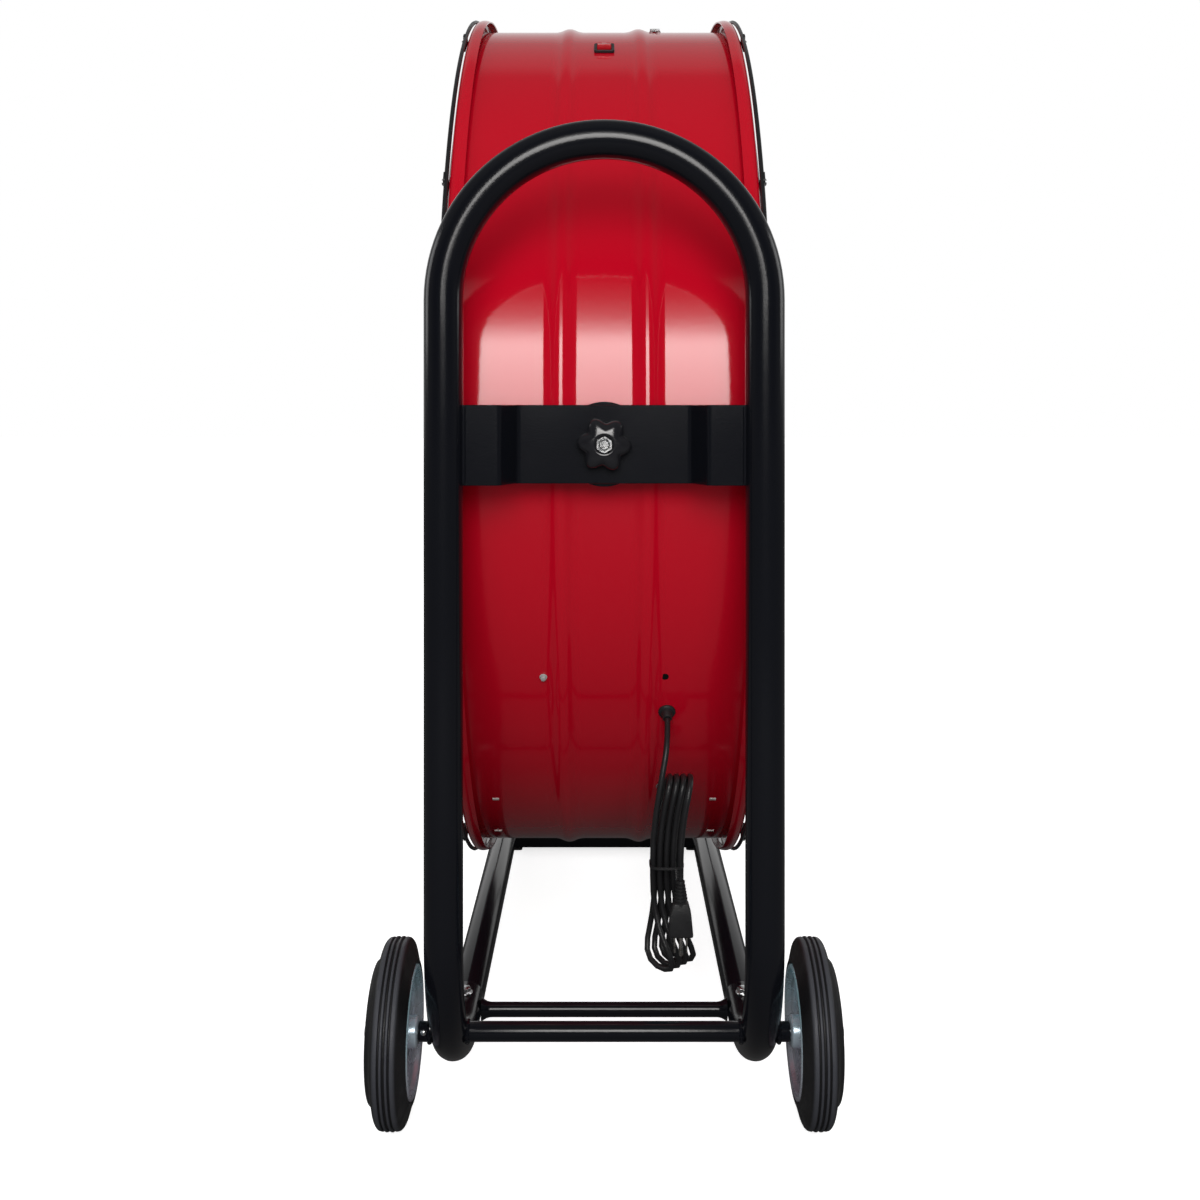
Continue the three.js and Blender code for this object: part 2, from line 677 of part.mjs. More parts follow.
const armHub = turned(ring(armHubRadius, 30, -armSheet / 2, armSheet / 2), 24, 'x')
  .translate(armSheetPlane, 0, 0);
const armBody = join(armHub, ...armAngles.map(arm));
const armHolesIn = armAngles.map(angle => radialHole(shellBoltRadius, angle, armPlane, 6)
  .translate(0, 0, -pivotHeight));
const bracketSolid = cut(common(armBody, insideCutter), ...armHolesIn);
piece('motor_bracket', bracketSolid.translate(0, 0, pivotHeight), paintBlack);

const armBolt = bolt(shellBoltRadius, 22, shellBoltHead, 4.5).rotateX(Math.PI / 2)
  .translate(0, 0, drumRadius + clearance);
armAngles.forEach((angle, i) => {
  piece(`bracket_bolt_${i + 1}`, onDrum(armBolt.clone(), angle, armPlane), zincSteel);
});

// ---- motor: a rolled barrel between two end caps, hung from the bracket -------------------------

const motorMiddle = (motorBack + motorFront) / 2;
const swage = 3;                // two rolled-in grooves stiffen the motor's barrel
const swageWidth = 5;
const barrelFront = motorFront + motorCap + clearance;
const barrelBack = motorBack - motorCap - clearance;
const barrelLine = [[0, barrelFront], [motorRadius, barrelFront]];
for (const middle of [barrelFront + 14, barrelBack - 14]) {
  barrelLine.push([motorRadius, middle - swageWidth], [motorRadius - swage, middle]);
  barrelLine.push([motorRadius, middle + swageWidth]);
}
barrelLine.push([motorRadius, barrelBack], [0, barrelBack]);
piece('motor_housing', turned(barrelLine, 20, 'x').translate(0, 0, pivotHeight), motorGrey);

const bearingBoss = 26;
const shaftBore = bored(shaftRadius + clearance);
piece('motor_front_cap', turned(looped([
  [shaftBore, motorFront], [bearingBoss, motorFront], [bearingBoss + 3, motorFront + 8],
  [motorRadius - 14, motorFront + 10], [motorRadius + 2, motorFront + 18],
  [motorRadius + 2, motorFront + motorCap], [shaftBore, motorFront + motorCap],
]), 20, 'x').translate(0, 0, pivotHeight), motorGrey);
piece('motor_rear_cap', turned([
  [0, motorBack - motorCap], [motorRadius + 2, motorBack - motorCap], [motorRadius + 2, motorBack - 8],
  [motorRadius - 8, motorBack], [0, motorBack],
], 20, 'x').translate(0, 0, pivotHeight), motorGrey);

const boxLength = 64;
const boxWidth = 56;
const boxHeight = 38;
const junctionBox = new THREE.BoxGeometry(boxLength, boxWidth, boxHeight)
  .translate(motorMiddle, 0, motorRadius + clearance + boxHeight / 2);
piece('junction_box', onDrum(junctionBox, glandAngle), motorGrey);

// ---- fan: hub, riveted spider and three pitched blades, all turning with the shaft --------------

const shaftEnd = fanPlane - 34;
piece('motor_shaft', turned(rod(shaftRadius, shaftEnd, motorFront + motorCap - clearance), axleSides, 'x')
  .translate(0, 0, pivotHeight), zincSteel);
const hubBore = bored(shaftRadius + clearance);
const hub = turned(looped([
  [hubBore, fanPlane - hubBehind], [hubBore + hubWall, fanPlane - hubBehind],
  [hubBore + hubWall, fanPlane - spiderSheet], [hubRadius, fanPlane - spiderSheet],
  [hubRadius, fanPlane + spiderSheet], [hubBore + hubWall, fanPlane + hubAhead],
  [hubBore, fanPlane + hubAhead],
]), axleSides, 'x');

// A blade is a thin grid, bent to its chord, pitch and camber along the radius.
function bladeGeometry() {
  const grid = new THREE.BoxGeometry(1, 1, 1, 7, 4, 1);
  const p = grid.attributes.position;
  for (let i = 0; i < p.count; i += 1) {
    const u = p.getX(i) + 0.5;
    const w = p.getY(i);
    const radius = bladeRoot + (fanRadius - bladeRoot) * u;
    const corner = 1 - 0.32 * Math.max(0, (u - 0.8) / 0.2) ** 2 * (0.5 + w);
    const chord = (bladeRootChord + (bladeTipChord - bladeRootChord) * u) * corner;
    const pitch = (bladeRootPitch + (bladeTipPitch - bladeRootPitch) * u) * deg;
    const rise = bladeCamber * (1 - 4 * w * w) - bladeCamber / 2 + p.getZ(i) * bladeSheet;
    const across = w * chord * Math.cos(pitch) - rise * Math.sin(pitch);
    const along = w * chord * Math.sin(pitch) + rise * Math.cos(pitch);
    const reach = Math.sqrt(radius * radius - across * across);
    p.setXYZ(i, along, across, reach);
  }
  return grid;
}

function spiderArm() {
  const side = [hubRadius * 0.83, bladeRoot, spiderRadius].map((reach, i) => [reach, spiderHalfWidths[i]]);
  const otherSide = side.map(([reach, half]) => [reach, -half]).reverse();
  const arm = slab([...side, ...otherSide], spiderSheet).translate(0, 0, -spiderSheet / 2);
  const p = arm.attributes.position;
  for (let i = 0; i < p.count; i += 1) {
    const turn = (p.getX(i) > hubRadius ? bladeRootPitch * 0.86 : 0) * deg;
    const z = p.getZ(i) - (p.getX(i) > hubRadius ? bladeCamber / 2 + spiderSheet / 2 + bladeSheet : 0);
    const y = p.getY(i);
    p.setXYZ(i, y * Math.sin(turn) + z * Math.cos(turn), y * Math.cos(turn) - z * Math.sin(turn), p.getX(i));
  }
  return arm;
}

const blades = atAngles(bladeGeometry(), bladeCount);
const spider = join(hub, ...atAngles(spiderArm(), bladeCount).map(a => a.translate(fanPlane, 0, 0)));
piece('fan_hub', spider.translate(0, 0, pivotHeight), alloyGrey);
blades.forEach((blade, i) => {
  piece(`fan_blade_${i + 1}`, blade.translate(fanPlane, 0, pivotHeight), alloyGrey);
});

// ---- switch ------------------------------------------------------------------------------------

const seat = drumRadius + clearance;
const rockerPivot = seat + 3.2;
const cavityWidth = rockerWidth + 2 * clearance;
const cavityLength = rockerLength + 1.4;
const flange = new THREE.BoxGeometry(switchWidth, switchLength, switchRise)
  .translate(0, 0, seat + switchRise / 2);
const switchBody = new THREE.BoxGeometry(switchWidth - 3, switchLength - 3, switchDepth + 1)
  .translate(0, 0, seat - switchDepth / 2 + 0.5);
const cavity = new THREE.BoxGeometry(cavityWidth, cavityLength, 30).translate(0, 0, seat - 9 + 15);
piece('switch_bezel', onDrum(cut(join(flange, switchBody), cavity), switchAngle), plasticBlack);

const rockerTilt = 10;
const rockerSide = [
  [-11, 4.6], [-11.3, 0], [-9.6, -5.6], [-5.5, -9.8], [5.5, -9.8], [9.6, -5.6], [11.3, 0], [11, 4.6], [0, 2.2],
];
const rocker = slab(rockerSide, rockerWidth).translate(0, 0, -rockerWidth / 2)
  .rotateX(Math.PI / 2).rotateZ(Math.PI / 2).rotateX(-rockerTilt * deg).translate(0, 0, rockerPivot);
piece('switch_rocker', onDrum(rocker, switchAngle), rockerRed);

// ---- cord: gland, drop, hank, tie and plug -------------------------------------------------------

const glandTip = seat + glandRise;
const cordBore = bored(cordRadius + clearance, 12);
const gland = turned(looped([
  [cordBore, seat - 14], [glandRadius - 2, seat - 14], [glandRadius - 2, seat],
  [glandRadius, seat], [glandRadius, seat + 5], [glandRadius - 3, glandTip],
  [cordBore, glandTip],
]), 12, 'z');
piece('cord_gland', onDrum(gland, glandAngle, glandAxial), plasticBlack);

// One turn of the hank goes down in front, round the foot, up behind and over the top.
// The turns lie side by side along X at the waist and fan out and turn towards the side below it.
function hankPoint(turn) {
  const angle = 2 * Math.PI * turn;
  const up = Math.cos(angle);
  const s = Math.sin(angle);
  const z = hankWaist + (up > 0 ? hankTop - hankWaist : hankWaist - hankFoot) * up;
  const below = Math.max(0, -up);
  const above = Math.max(0, up);
  const lobe = below * hankFootLobe + above * hankTopLobe;
  const across = hankWaistHalf * s + lobe * (s + Math.sin(3 * angle)) / 2;
  const pitch = hankPitch + (hankFootPitch - hankPitch) * below ** 2;
  const stack = pitch * (turn - hankTurns / 2 - 0.25);
  const twist = (90 - hankFootTwist * below ** 2) * deg;
  const centreX = hankAxial + hankTopAxial * above ** 2 + hankFootAxial * below ** 2;
  const back = hankFootBack * THREE.MathUtils.smoothstep(hankWaist + 15 - z, 0, 75);
  const forward = lastStrandForward * THREE.MathUtils.smoothstep(turn, hankTurns - 0.02, hankTurns + 0.22);
  const centreY = hankDepth + back - forward;
  return v(
    centreX + across * Math.cos(twist) + stack * Math.sin(twist),
    centreY - across * Math.sin(twist) + stack * Math.cos(twist),
    z,
  );
}

const hankFrom = 0.25 - 0.035;
const hankTo = hankTurns + 0.25 + 0.012;
function hankStations() {
  const stations = [];
  const steps = Math.round((hankTo - hankFrom) * hankTurnSteps);
  for (let i = 0; i <= steps; i += 1) {
    stations.push(hankPoint(hankFrom + (hankTo - hankFrom) * i / steps));
  }
  const diameter = 2 * cordRadius;
  const first = stations[0];
  const last = stations[stations.length - 1];
  return [v(first.x, first.y, first.z + diameter), ...stations, v(last.x, last.y, last.z - diameter)];
}

// The least gap between strands, measured on points along the tube's middle line.
function leastGap(stations) {
  const line = new THREE.CatmullRomCurve3(stations).getSpacedPoints(1600);
  const spacing = line[0].distanceTo(line[1]);
  const skip = Math.ceil(6 * cordRadius / spacing);
  let least = Infinity;
  for (let i = 0; i < line.length; i += 1) {
    for (let j = i + skip; j < line.length; j += 1) least = Math.min(least, line[i].distanceTo(line[j]));
  }
  return least - 2 * cordRadius;
}

const hankLine = hankStations();
console.log(`hank: least gap to itself ${leastGap(hankLine).toFixed(2)} mm`);
piece('cord_hank', swept(hankLine, polygon(cordRadius, hankSides)), rubberBlack);

// The drop leaves the gland straight out, bends down and joins the first strand of the hank.
const glandOut = v(0, -Math.sin(glandAngle * deg), Math.cos(glandAngle * deg));
const dropStart = v(glandAxial, 0, pivotHeight).addScaledVector(glandOut, glandTip + clearance);
const dropEnd = hankLine[0].clone().add(v(0, 0, clearance));
const dropFall = dropStart.z - dropEnd.z;
const dropBends = [[0.78, 0, -3], [0.58, -4.5, -10], [0.385, -8.5, -11.5], [0.2, -11.5, -9.5]];
const dropRoute = new THREE.CatmullRomCurve3([
  dropStart,
  dropStart.clone().addScaledVector(glandOut, 2 * cordRadius),
  ...dropBends.map(([share, x, y]) => v(hankAxial + x, hankDepth + y, dropEnd.z + share * dropFall)),
  v(dropEnd.x, dropEnd.y, dropEnd.z + 2 * cordRadius),
  dropEnd,
]);
piece('cord_drop', swept(dropRoute.getPoints(24), polygon(cordRadius, 8)), rubberBlack);
const cordLength = (new THREE.CatmullRomCurve3(hankLine).getLength() + dropRoute.getLength()) / 1000;
console.log(`cord: ${cordLength.toFixed(3)} m from the gland to the plug`);

// The tie goes once round the waist of the hank.
const tieInsideX = hankPitch * hankTurns / 2 + cordRadius + clearance;
const tieForward = 2;
const tieDepth = hankDepth - lastStrandForward / 2 + tieForward;
const tieInsideY = hankWaistHalf + cordRadius + clearance + lastStrandForward / 2 + tieForward;
const tieCorner = 2.4;
function tieOutline(grow) {
  const points = [];
  for (let i = 0; i < 16; i += 1) {
    const angle = 2 * Math.PI * (i + 0.5) / 16;
    const [c, q] = [Math.cos(angle), Math.sin(angle)];
    points.push([
      Math.sign(c) * (tieInsideX - tieCorner) + (tieCorner + grow) * c,
      Math.sign(q) * (tieInsideY - tieCorner) + (tieCorner + grow) * q,
    ]);
  }
  return points;
}
piece('cord_tie', slab(tieOutline(tieThickness), tieHeight, [tieOutline(0)])
  .translate(hankAxial, tieDepth, hankWaist - tieHeight / 2), plasticBlack);

// The plug hangs on the last strand, in front of the loops.
const plugTop = hankLine[hankLine.length - 1].clone().add(v(0, 0, -clearance));
const reliefLength = 22;
const plugHeight = 36;
const plugWidth = 26;
const plugDepth = 18;
const pinLength = 18;
const pinSpacing = 12.7;
const relief = turned([[0, 0], [4.4, 0], [7.6, -reliefLength - 2], [0, -reliefLength - 2]], 12, 'z');
const plugBlock = slab([
  [-plugWidth / 2, -plugHeight], [plugWidth / 2, -plugHeight], [plugWidth / 2, -8],
  [plugWidth / 2 - 6, 0], [-plugWidth / 2 + 6, 0], [-plugWidth / 2, -8],
], plugDepth).rotateX(Math.PI / 2).translate(0, plugDepth / 2, -reliefLength);
const blade = new THREE.BoxGeometry(1.6, 6.4, pinLength + 1)
  .translate(0, 1.5, -reliefLength - plugHeight - pinLength / 2 + 0.5);
const plugFace = -reliefLength - plugHeight;
const earthPin = turned(rod(2.4, plugFace - pinLength - 2, plugFace + 1), 8, 'z')
  .translate(0, -5, 0);
piece('cord_plug', join(
  relief,
  plugBlock,
  blade.clone().translate(-pinSpacing / 2, 0, 0),
  blade.clone().translate(pinSpacing / 2, 0, 0),
  earthPin,
).translate(plugTop.x, plugTop.y, plugTop.z), plasticBlack);

// The origin is at the middle of the frame's footprint: a wheel reaches furthest on the near side
// and the far arch on the other.
const nearReach = archPlane - axleSetback + wheelRadius;
const farReach = archPlane + tubeRadius;
model.position.y = (nearReach - farReach) / 2;

export default model;
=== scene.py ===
import bpy
import bmesh
from math import atan2, cos, pi, radians, sin, sqrt
from mathutils import Matrix, Vector


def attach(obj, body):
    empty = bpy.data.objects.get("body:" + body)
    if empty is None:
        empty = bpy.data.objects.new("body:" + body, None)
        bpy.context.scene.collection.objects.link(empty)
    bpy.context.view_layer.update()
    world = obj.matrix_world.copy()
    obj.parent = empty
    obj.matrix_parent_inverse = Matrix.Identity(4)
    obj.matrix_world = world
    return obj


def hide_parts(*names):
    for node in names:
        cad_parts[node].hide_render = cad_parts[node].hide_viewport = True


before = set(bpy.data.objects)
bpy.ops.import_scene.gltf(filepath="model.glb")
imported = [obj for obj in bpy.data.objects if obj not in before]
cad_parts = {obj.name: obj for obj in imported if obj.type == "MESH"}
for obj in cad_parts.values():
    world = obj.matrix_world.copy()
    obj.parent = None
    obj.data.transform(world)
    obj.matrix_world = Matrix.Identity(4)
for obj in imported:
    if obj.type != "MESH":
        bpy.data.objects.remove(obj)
scene = bpy.context.scene
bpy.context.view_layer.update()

# ---- Camera -------------------------------------------------------------------------------------
# The fan is seen square on from the handle's side, from a little above the drum's axis.
# The frame is shifted down, so the horizon lies above the middle of the picture.
camera_data = bpy.data.cameras.new("camera")
camera_data.sensor_width = 36
camera_data.lens = 40.5
camera_data.shift_x = -0.0035
camera_data.shift_y = -0.160
camera = bpy.data.objects.new("camera", camera_data)
camera.location = (0, -1.923, 0.712)
camera.rotation_euler = (pi / 2, 0, 0)
scene.collection.objects.link(camera)
scene.camera = camera

# ---- Studio -------------------------------------------------------------------------------------
# A pale floor and a white surround. Mirrored, the surround is white behind the fan and dim in
# front of it, as in a studio whose sweep stands behind the product.
scene.view_settings.view_transform = "Standard"
world = bpy.data.worlds.new("studio")
scene.world = world
world.use_nodes = True
world.node_tree.nodes.clear()


def wire_up(tree, kind, inputs=(), **settings):
    """A node with its settings, and its inputs given as values or as other nodes' outputs."""
    node = tree.nodes.new(kind)
    for key, value in settings.items():
        setattr(node, key, value)
    for key, value in dict(inputs).items():
        if isinstance(value, bpy.types.NodeSocket):
            tree.links.new(value, node.inputs[key])
        else:
            node.inputs[key].default_value = value
    return node


tree = world.node_tree
path = wire_up(tree, "ShaderNodeLightPath")
direction = wire_up(tree, "ShaderNodeTexCoord")
parts = wire_up(tree, "ShaderNodeSeparateXYZ", {0: direction.outputs["Generated"]})
along = wire_up(tree, "ShaderNodeMapRange",
                {"Value": parts.outputs["Y"], "From Min": -1.0, "From Max": 1.0})
behind = wire_up(tree, "ShaderNodeValToRGB", {"Fac": along.outputs[0]})
for stop, level in ((0.16, 0.01), (0.36, 0.12), (0.70, 0.12), (0.75, 0.27), (0.88, 0.34)):
    behind.color_ramp.elements.new(stop).color = (level, level, level, 1)
behind.color_ramp.elements[0].color = (0.01, 0.01, 0.01, 1)
behind.color_ramp.elements[-1].color = (0.9, 0.9, 0.9, 1)
mirrored = wire_up(tree, "ShaderNodeMath", {
    0: path.outputs["Is Glossy Ray"], 1: path.outputs["Is Transmission Ray"],
}, operation="MAXIMUM")
overhead = wire_up(tree, "ShaderNodeMapRange", {
    "Value": parts.outputs["Z"], "From Min": -0.3, "From Max": 0.3, "To Min": 0.05, "To Max": 0.62,
})
dim = wire_up(tree, "ShaderNodeMix", {
    "Factor": mirrored.outputs[0], "A": overhead.outputs[0], "B": behind.outputs[0],
}, data_type="FLOAT")
seen = wire_up(tree, "ShaderNodeMix", {
    "Factor": path.outputs["Is Camera Ray"], "A": dim.outputs[0], "B": 1.0,
}, data_type="FLOAT")
surround = wire_up(tree, "ShaderNodeBackground",
                   {"Color": (1, 1, 1, 1), "Strength": seen.outputs[0]})
wire_up(tree, "ShaderNodeOutputWorld", {"Surface": surround.outputs[0]})

floor_mesh = bpy.data.meshes.new("floor")
shape = bmesh.new()
bmesh.ops.create_grid(shape, x_segments=1, y_segments=1, size=30)
shape.to_mesh(floor_mesh)
shape.free()
floor = bpy.data.objects.new("floor", floor_mesh)
scene.collection.objects.link(floor)
paper = bpy.data.materials.new("floor_paper")
paper.use_nodes = True
tree = paper.node_tree
tree.nodes.clear()
path = wire_up(tree, "ShaderNodeLightPath")
bounce = wire_up(tree, "ShaderNodeBsdfDiffuse", {"Color": (0.07, 0.07, 0.07, 1)})
white = wire_up(tree, "ShaderNodeBsdfDiffuse", {"Color": (0.8, 0.8, 0.8, 1)})
glow = wire_up(tree, "ShaderNodeEmission", {"Color": (1, 1, 1, 1), "Strength": 0.76})
bright = wire_up(tree, "ShaderNodeAddShader", {0: white.outputs[0], 1: glow.outputs[0]})
mirrored = wire_up(tree, "ShaderNodeMath", {
    0: path.outputs["Is Glossy Ray"], 1: path.outputs["Is Transmission Ray"],
}, operation="MAXIMUM")
share = wire_up(tree, "ShaderNodeMath", {0: mirrored.outputs[0], 1: 0.03}, operation="MULTIPLY")
seen = wire_up(tree, "ShaderNodeMath", {
    0: path.outputs["Is Camera Ray"], 1: share.outputs[0],
}, operation="MAXIMUM")
mixed = wire_up(tree, "ShaderNodeMixShader", {
    0: seen.outputs[0], 1: bounce.outputs[0], 2: bright.outputs[0],
})
wire_up(tree, "ShaderNodeOutputMaterial", {"Surface": mixed.outputs[0]})
floor_mesh.materials.append(paper)


def soft_lamp(name, place, aim, width, height, power, tint=(1, 1, 1), mirrored=True):
    """A flat soft lamp that faces a point. A fill lamp isn't mirrored by the paint."""
    lamp = bpy.data.lights.new(name, "AREA")
    lamp.shape = "RECTANGLE"
    lamp.size, lamp.size_y = width, height
    lamp.energy = power
    lamp.color = tint
    stand = bpy.data.objects.new(name, lamp)
    stand.location = place
    stand.visible_glossy = mirrored
    stand.rotation_euler = (Vector(aim) - Vector(place)).to_track_quat("-Z", "Y").to_euler()
    scene.collection.objects.link(stand)
    return lamp


window = soft_lamp("window", (0, -3.1, 2.10), (0, 0, 2.10), 1.15, 2.10, 91, (1.0, 0.98, 0.96))
window.use_nodes = True
tree = window.node_tree
across = wire_up(tree, "ShaderNodeTexCoord")
rise = wire_up(tree, "ShaderNodeSeparateXYZ", {0: across.outputs["UV"]})
fade = wire_up(tree, "ShaderNodeValToRGB", {"Fac": rise.outputs["Y"]})
for stop, level in ((0.19, 0.82), (0.40, 1.0), (0.44, 0.92), (0.49, 0.69), (0.53, 0.48),
                    (0.58, 0.31), (0.63, 0.18),
                    (0.70, 0.12), (0.79, 0.06), (0.90, 0.03)):
    fade.color_ramp.elements.new(stop).color = (level, level, level, 1)
fade.color_ramp.elements[0].color = (0.68, 0.68, 0.68, 1)
fade.color_ramp.elements[-1].color = (0.01, 0.01, 0.01, 1)
tree.links.new(fade.outputs["Color"], tree.nodes["Emission"].inputs["Strength"])
soft_lamp("fill", (0, -2.6, 0.85), (0, 0, 0.7), 1.6, 1.2, 16, mirrored=False)
soft_lamp("ceiling", (0, -0.6, 3.4), (0, 0, 0.7), 2.2, 1.6, 5, mirrored=False)
soft_lamp("back", (0, 3.4, 2.2), (0, 0.2, 0.7), 2.0, 1.4, 14, mirrored=False)
soft_lamp("left", (-3.2, 0.3, 1.6), (0, 0, 0.7), 1.4, 1.4, 12)
soft_lamp("right", (3.2, 0.3, 1.6), (0, 0, 0.7), 1.4, 1.4, 12)

# ---- Mains cord ---------------------------------------------------------------------------------
# A round three-core lead in black PVC. It comes out of the gland under the drum and hangs as a
# hank of four turns, tied at the waist, with the plug on its last strand.
drum_middle = 0.011862
drum_axis = 0.676
drum_place = Matrix.Translation((0, drum_middle, drum_axis))
cord_radius = 0.00315
hank_turns = 4
hank_top, hank_waist, hank_foot = 0.320, 0.229, 0.113
hank_y = -0.500 + drum_middle


def smoothstep(value, low, high):
    t = min(1, max(0, (value - low) / (high - low)))
    return t * t * (3 - 2 * t)


def hank_point(turn):
    """Down in front, round the foot, up behind and over the top, once in each turn."""
    angle = 2 * pi * turn
    up, s = cos(angle), sin(angle)
    z = hank_waist + (hank_top - hank_waist if up > 0 else hank_waist - hank_foot) * up
    below, above = max(0, -up), max(0, up)
    lobe = below * 0.027 + above * 0.017
    across = 0.0056 * s + lobe * (s + sin(3 * angle)) / 2
    pitch = 0.0072 + 0.0043 * below ** 2
    stack = pitch * (turn - hank_turns / 2 - 0.25)
    twist = radians(90 - 52 * below ** 2)
    middle = 0.066 + 0.013 * above ** 2 + 0.009 * below ** 2
    back = 0.024 * smoothstep(hank_waist + 0.015 - z, 0, 0.075)
    forward = 0.011 * smoothstep(turn, hank_turns - 0.02, hank_turns + 0.22)
    return Vector((
        middle + across * cos(twist) + stack * sin(twist),
        hank_y + back - forward - across * sin(twist) + stack * cos(twist),
        z,
    ))


def smooth_route(points, steps):
    """A Catmull-Rom line through points."""
    line = []
    ends = [2 * points[0] - points[1], *points, 2 * points[-1] - points[-2]]
    for a, b, c, d in zip(ends, ends[1:], ends[2:], ends[3:]):
        for i in range(steps):
            t = i / steps
            line.append(((2 * b) + (c - a) * t + (2 * a - 5 * b + 4 * c - d) * t * t
                         + (3 * b - a - 3 * c + d) * t ** 3) / 2)
    return line + [points[-1]]


gland_degrees, gland_axial = 122, 0.068
gland_angle = radians(gland_degrees)
drum_surface = 0.5533
gland_out = Vector((0, -sin(gland_angle), cos(gland_angle)))
gland_foot = Vector((gland_axial, drum_middle, drum_axis)) + gland_out * drum_surface
cord_exit = gland_foot + gland_out * 0.0123
hank_from, hank_to = 0.25 - 0.035, hank_turns + 0.25 + 0.012
hank_line = [hank_point(hank_from + (hank_to - hank_from) * i / 146) for i in range(147)]
hank_start = hank_line[0] + Vector((0, 0, 2 * cord_radius))
plug_top = hank_line[-1] - Vector((0, 0, 2 * cord_radius))
drop_points = [
    cord_exit,
    cord_exit + gland_out * 2 * cord_radius,
    Vector((0.066, -0.503 + drum_middle, 0.350)),
    Vector((0.0615, -0.510 + drum_middle, 0.325)),
    Vector((0.0575, -0.5115 + drum_middle, 0.302)),
    Vector((0.0545, -0.5095 + drum_middle, 0.280)),
    hank_start,
]
cord_line = smooth_route(drop_points, 5) + hank_line + [plug_top]
cord_curve = bpy.data.curves.new("mains_cord", "CURVE")
cord_curve.dimensions = "3D"
cord_curve.bevel_depth = cord_radius
cord_curve.bevel_resolution = 4
cord_curve.use_fill_caps = True
spline = cord_curve.splines.new("POLY")
spline.points.add(len(cord_line) - 1)
for point, place in zip(spline.points, cord_line):
    point.co = (*place, 1)
spline.use_smooth = True
cord = bpy.data.objects.new("mains_cord", cord_curve)
scene.collection.objects.link(cord)


def mottled(tree, shader, socket, low, high, scale, detail=4.0):
    """Lets a value or a colour wander between two limits over the surface."""
    place = wire_up(tree, "ShaderNodeTexCoord").outputs["Object"]
    noise = wire_up(tree, "ShaderNodeTexNoise", {"Vector": place, "Scale": scale, "Detail": detail})
    if isinstance(low, tuple):
        ramp = wire_up(tree, "ShaderNodeMix", {
            0: noise.outputs["Fac"], 6: (*low, 1), 7: (*high, 1),
        }, data_type="RGBA")
        tree.links.new(ramp.outputs[2], shader.inputs[socket])
    else:
        ramp = wire_up(tree, "ShaderNodeMapRange", {
            "Value": noise.outputs["Fac"], "From Min": 0.3, "From Max": 0.7,
            "To Min": low, "To Max": high,
        })
        tree.links.new(ramp.outputs["Result"], shader.inputs[socket])


def grained(tree, shader, height, scale, detail=3.0, depth=0.001):
    """A fine bump, in metres."""
    place = wire_up(tree, "ShaderNodeTexCoord").outputs["Object"]
    noise = wire_up(tree, "ShaderNodeTexNoise", {"Vector": place, "Scale": scale, "Detail": detail})
    bump = wire_up(tree, "ShaderNodeBump", {
        "Height": noise.outputs["Fac"], "Strength": height, "Distance": depth,
    })
    tree.links.new(bump.outputs["Normal"], shader.inputs["Normal"])


def inner(finish):
    """The node tree of a finish and its shader."""
    return finish.node_tree, finish.node_tree.nodes["Principled BSDF"]


def new_finish(name, colour, rough, grain=None, metallic=0.0, specular=0.5):
    """A material: rough is mottled's (low, high, scale, detail), grain is grained's values."""
    finish = bpy.data.materials.new(name)
    finish.use_nodes = True
    tree, shader = inner(finish)
    shader.inputs["Base Color"].default_value = (*colour, 1)
    shader.inputs["Metallic"].default_value = metallic
    shader.inputs["Specular IOR Level"].default_value = specular
    mottled(tree, shader, "Roughness", *rough)
    if grain:
        grained(tree, shader, *grain)
    return finish


jacket = new_finish("cord_jacket", (0.010, 0.010, 0.011), (0.30, 0.46, 60), (0.25, 900))
cord_curve.materials.append(jacket)
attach(cord, "drum")
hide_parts("cord_drop", "cord_hank")


# ---- Tie and plug -------------------------------------------------------------------------------
# A black plastic-coated wire tie goes once round the hank, with its two ends twisted together.
# The plug is moulded onto the lead in one piece: ribbed relief, body, two blades and an earth pin.
def finished(name, shape, material, body, slot, *stands_for, sharp=32, at=None):
    """Makes a bmesh a piece: in place, smooth but for its sharp edges, riding on its body."""
    bmesh.ops.recalc_face_normals(shape, faces=shape.faces)
    if at:
        bmesh.ops.transform(shape, matrix=at, verts=shape.verts)
    for face in shape.faces:
        face.smooth = True
    for edge in shape.edges:
        edge.smooth = len(edge.link_faces) == 2 and edge.calc_face_angle(0) < radians(sharp)
    mesh = bpy.data.meshes.new(name)
    shape.to_mesh(mesh)
    shape.free()
    piece = bpy.data.objects.new(name, mesh)
    scene.collection.objects.link(piece)
    mesh.materials.append(material)
    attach(piece, body)
    if stands_for:
        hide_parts(*stands_for)
    return piece


def drawn(shape, points, rounding=(), segments=4, closed=False):
    """A line of edges through points, with chosen corners rounded."""
    corners = [shape.verts.new(point) for point in points]
    pairs = list(zip(corners, corners[1:])) + ([(corners[-1], corners[0])] if closed else [])
    line = [shape.edges.new(pair) for pair in pairs]
    known = set(shape.edges) - set(line)
    for corner, radius in zip(corners, rounding):
        if radius:
            bmesh.ops.bevel(shape, geom=[corner], offset=radius, offset_type="OFFSET",
                            affect="VERTICES",
                            segments=segments, profile=0.5, material=-1)
    return [edge for edge in shape.edges if edge not in known]


def turned(shape, line, middle, axis, steps=96):
    """Spins a drawn line a full turn about an axis."""
    geom = list({vert for edge in line for vert in edge.verts}) + list(line)
    bmesh.ops.spin(shape, geom=geom, cent=middle, axis=axis, angle=2 * pi, steps=steps,
                   use_merge=True)
    bmesh.ops.remove_doubles(shape, verts=shape.verts, dist=1e-6)
    bmesh.ops.recalc_face_normals(shape, faces=shape.faces)


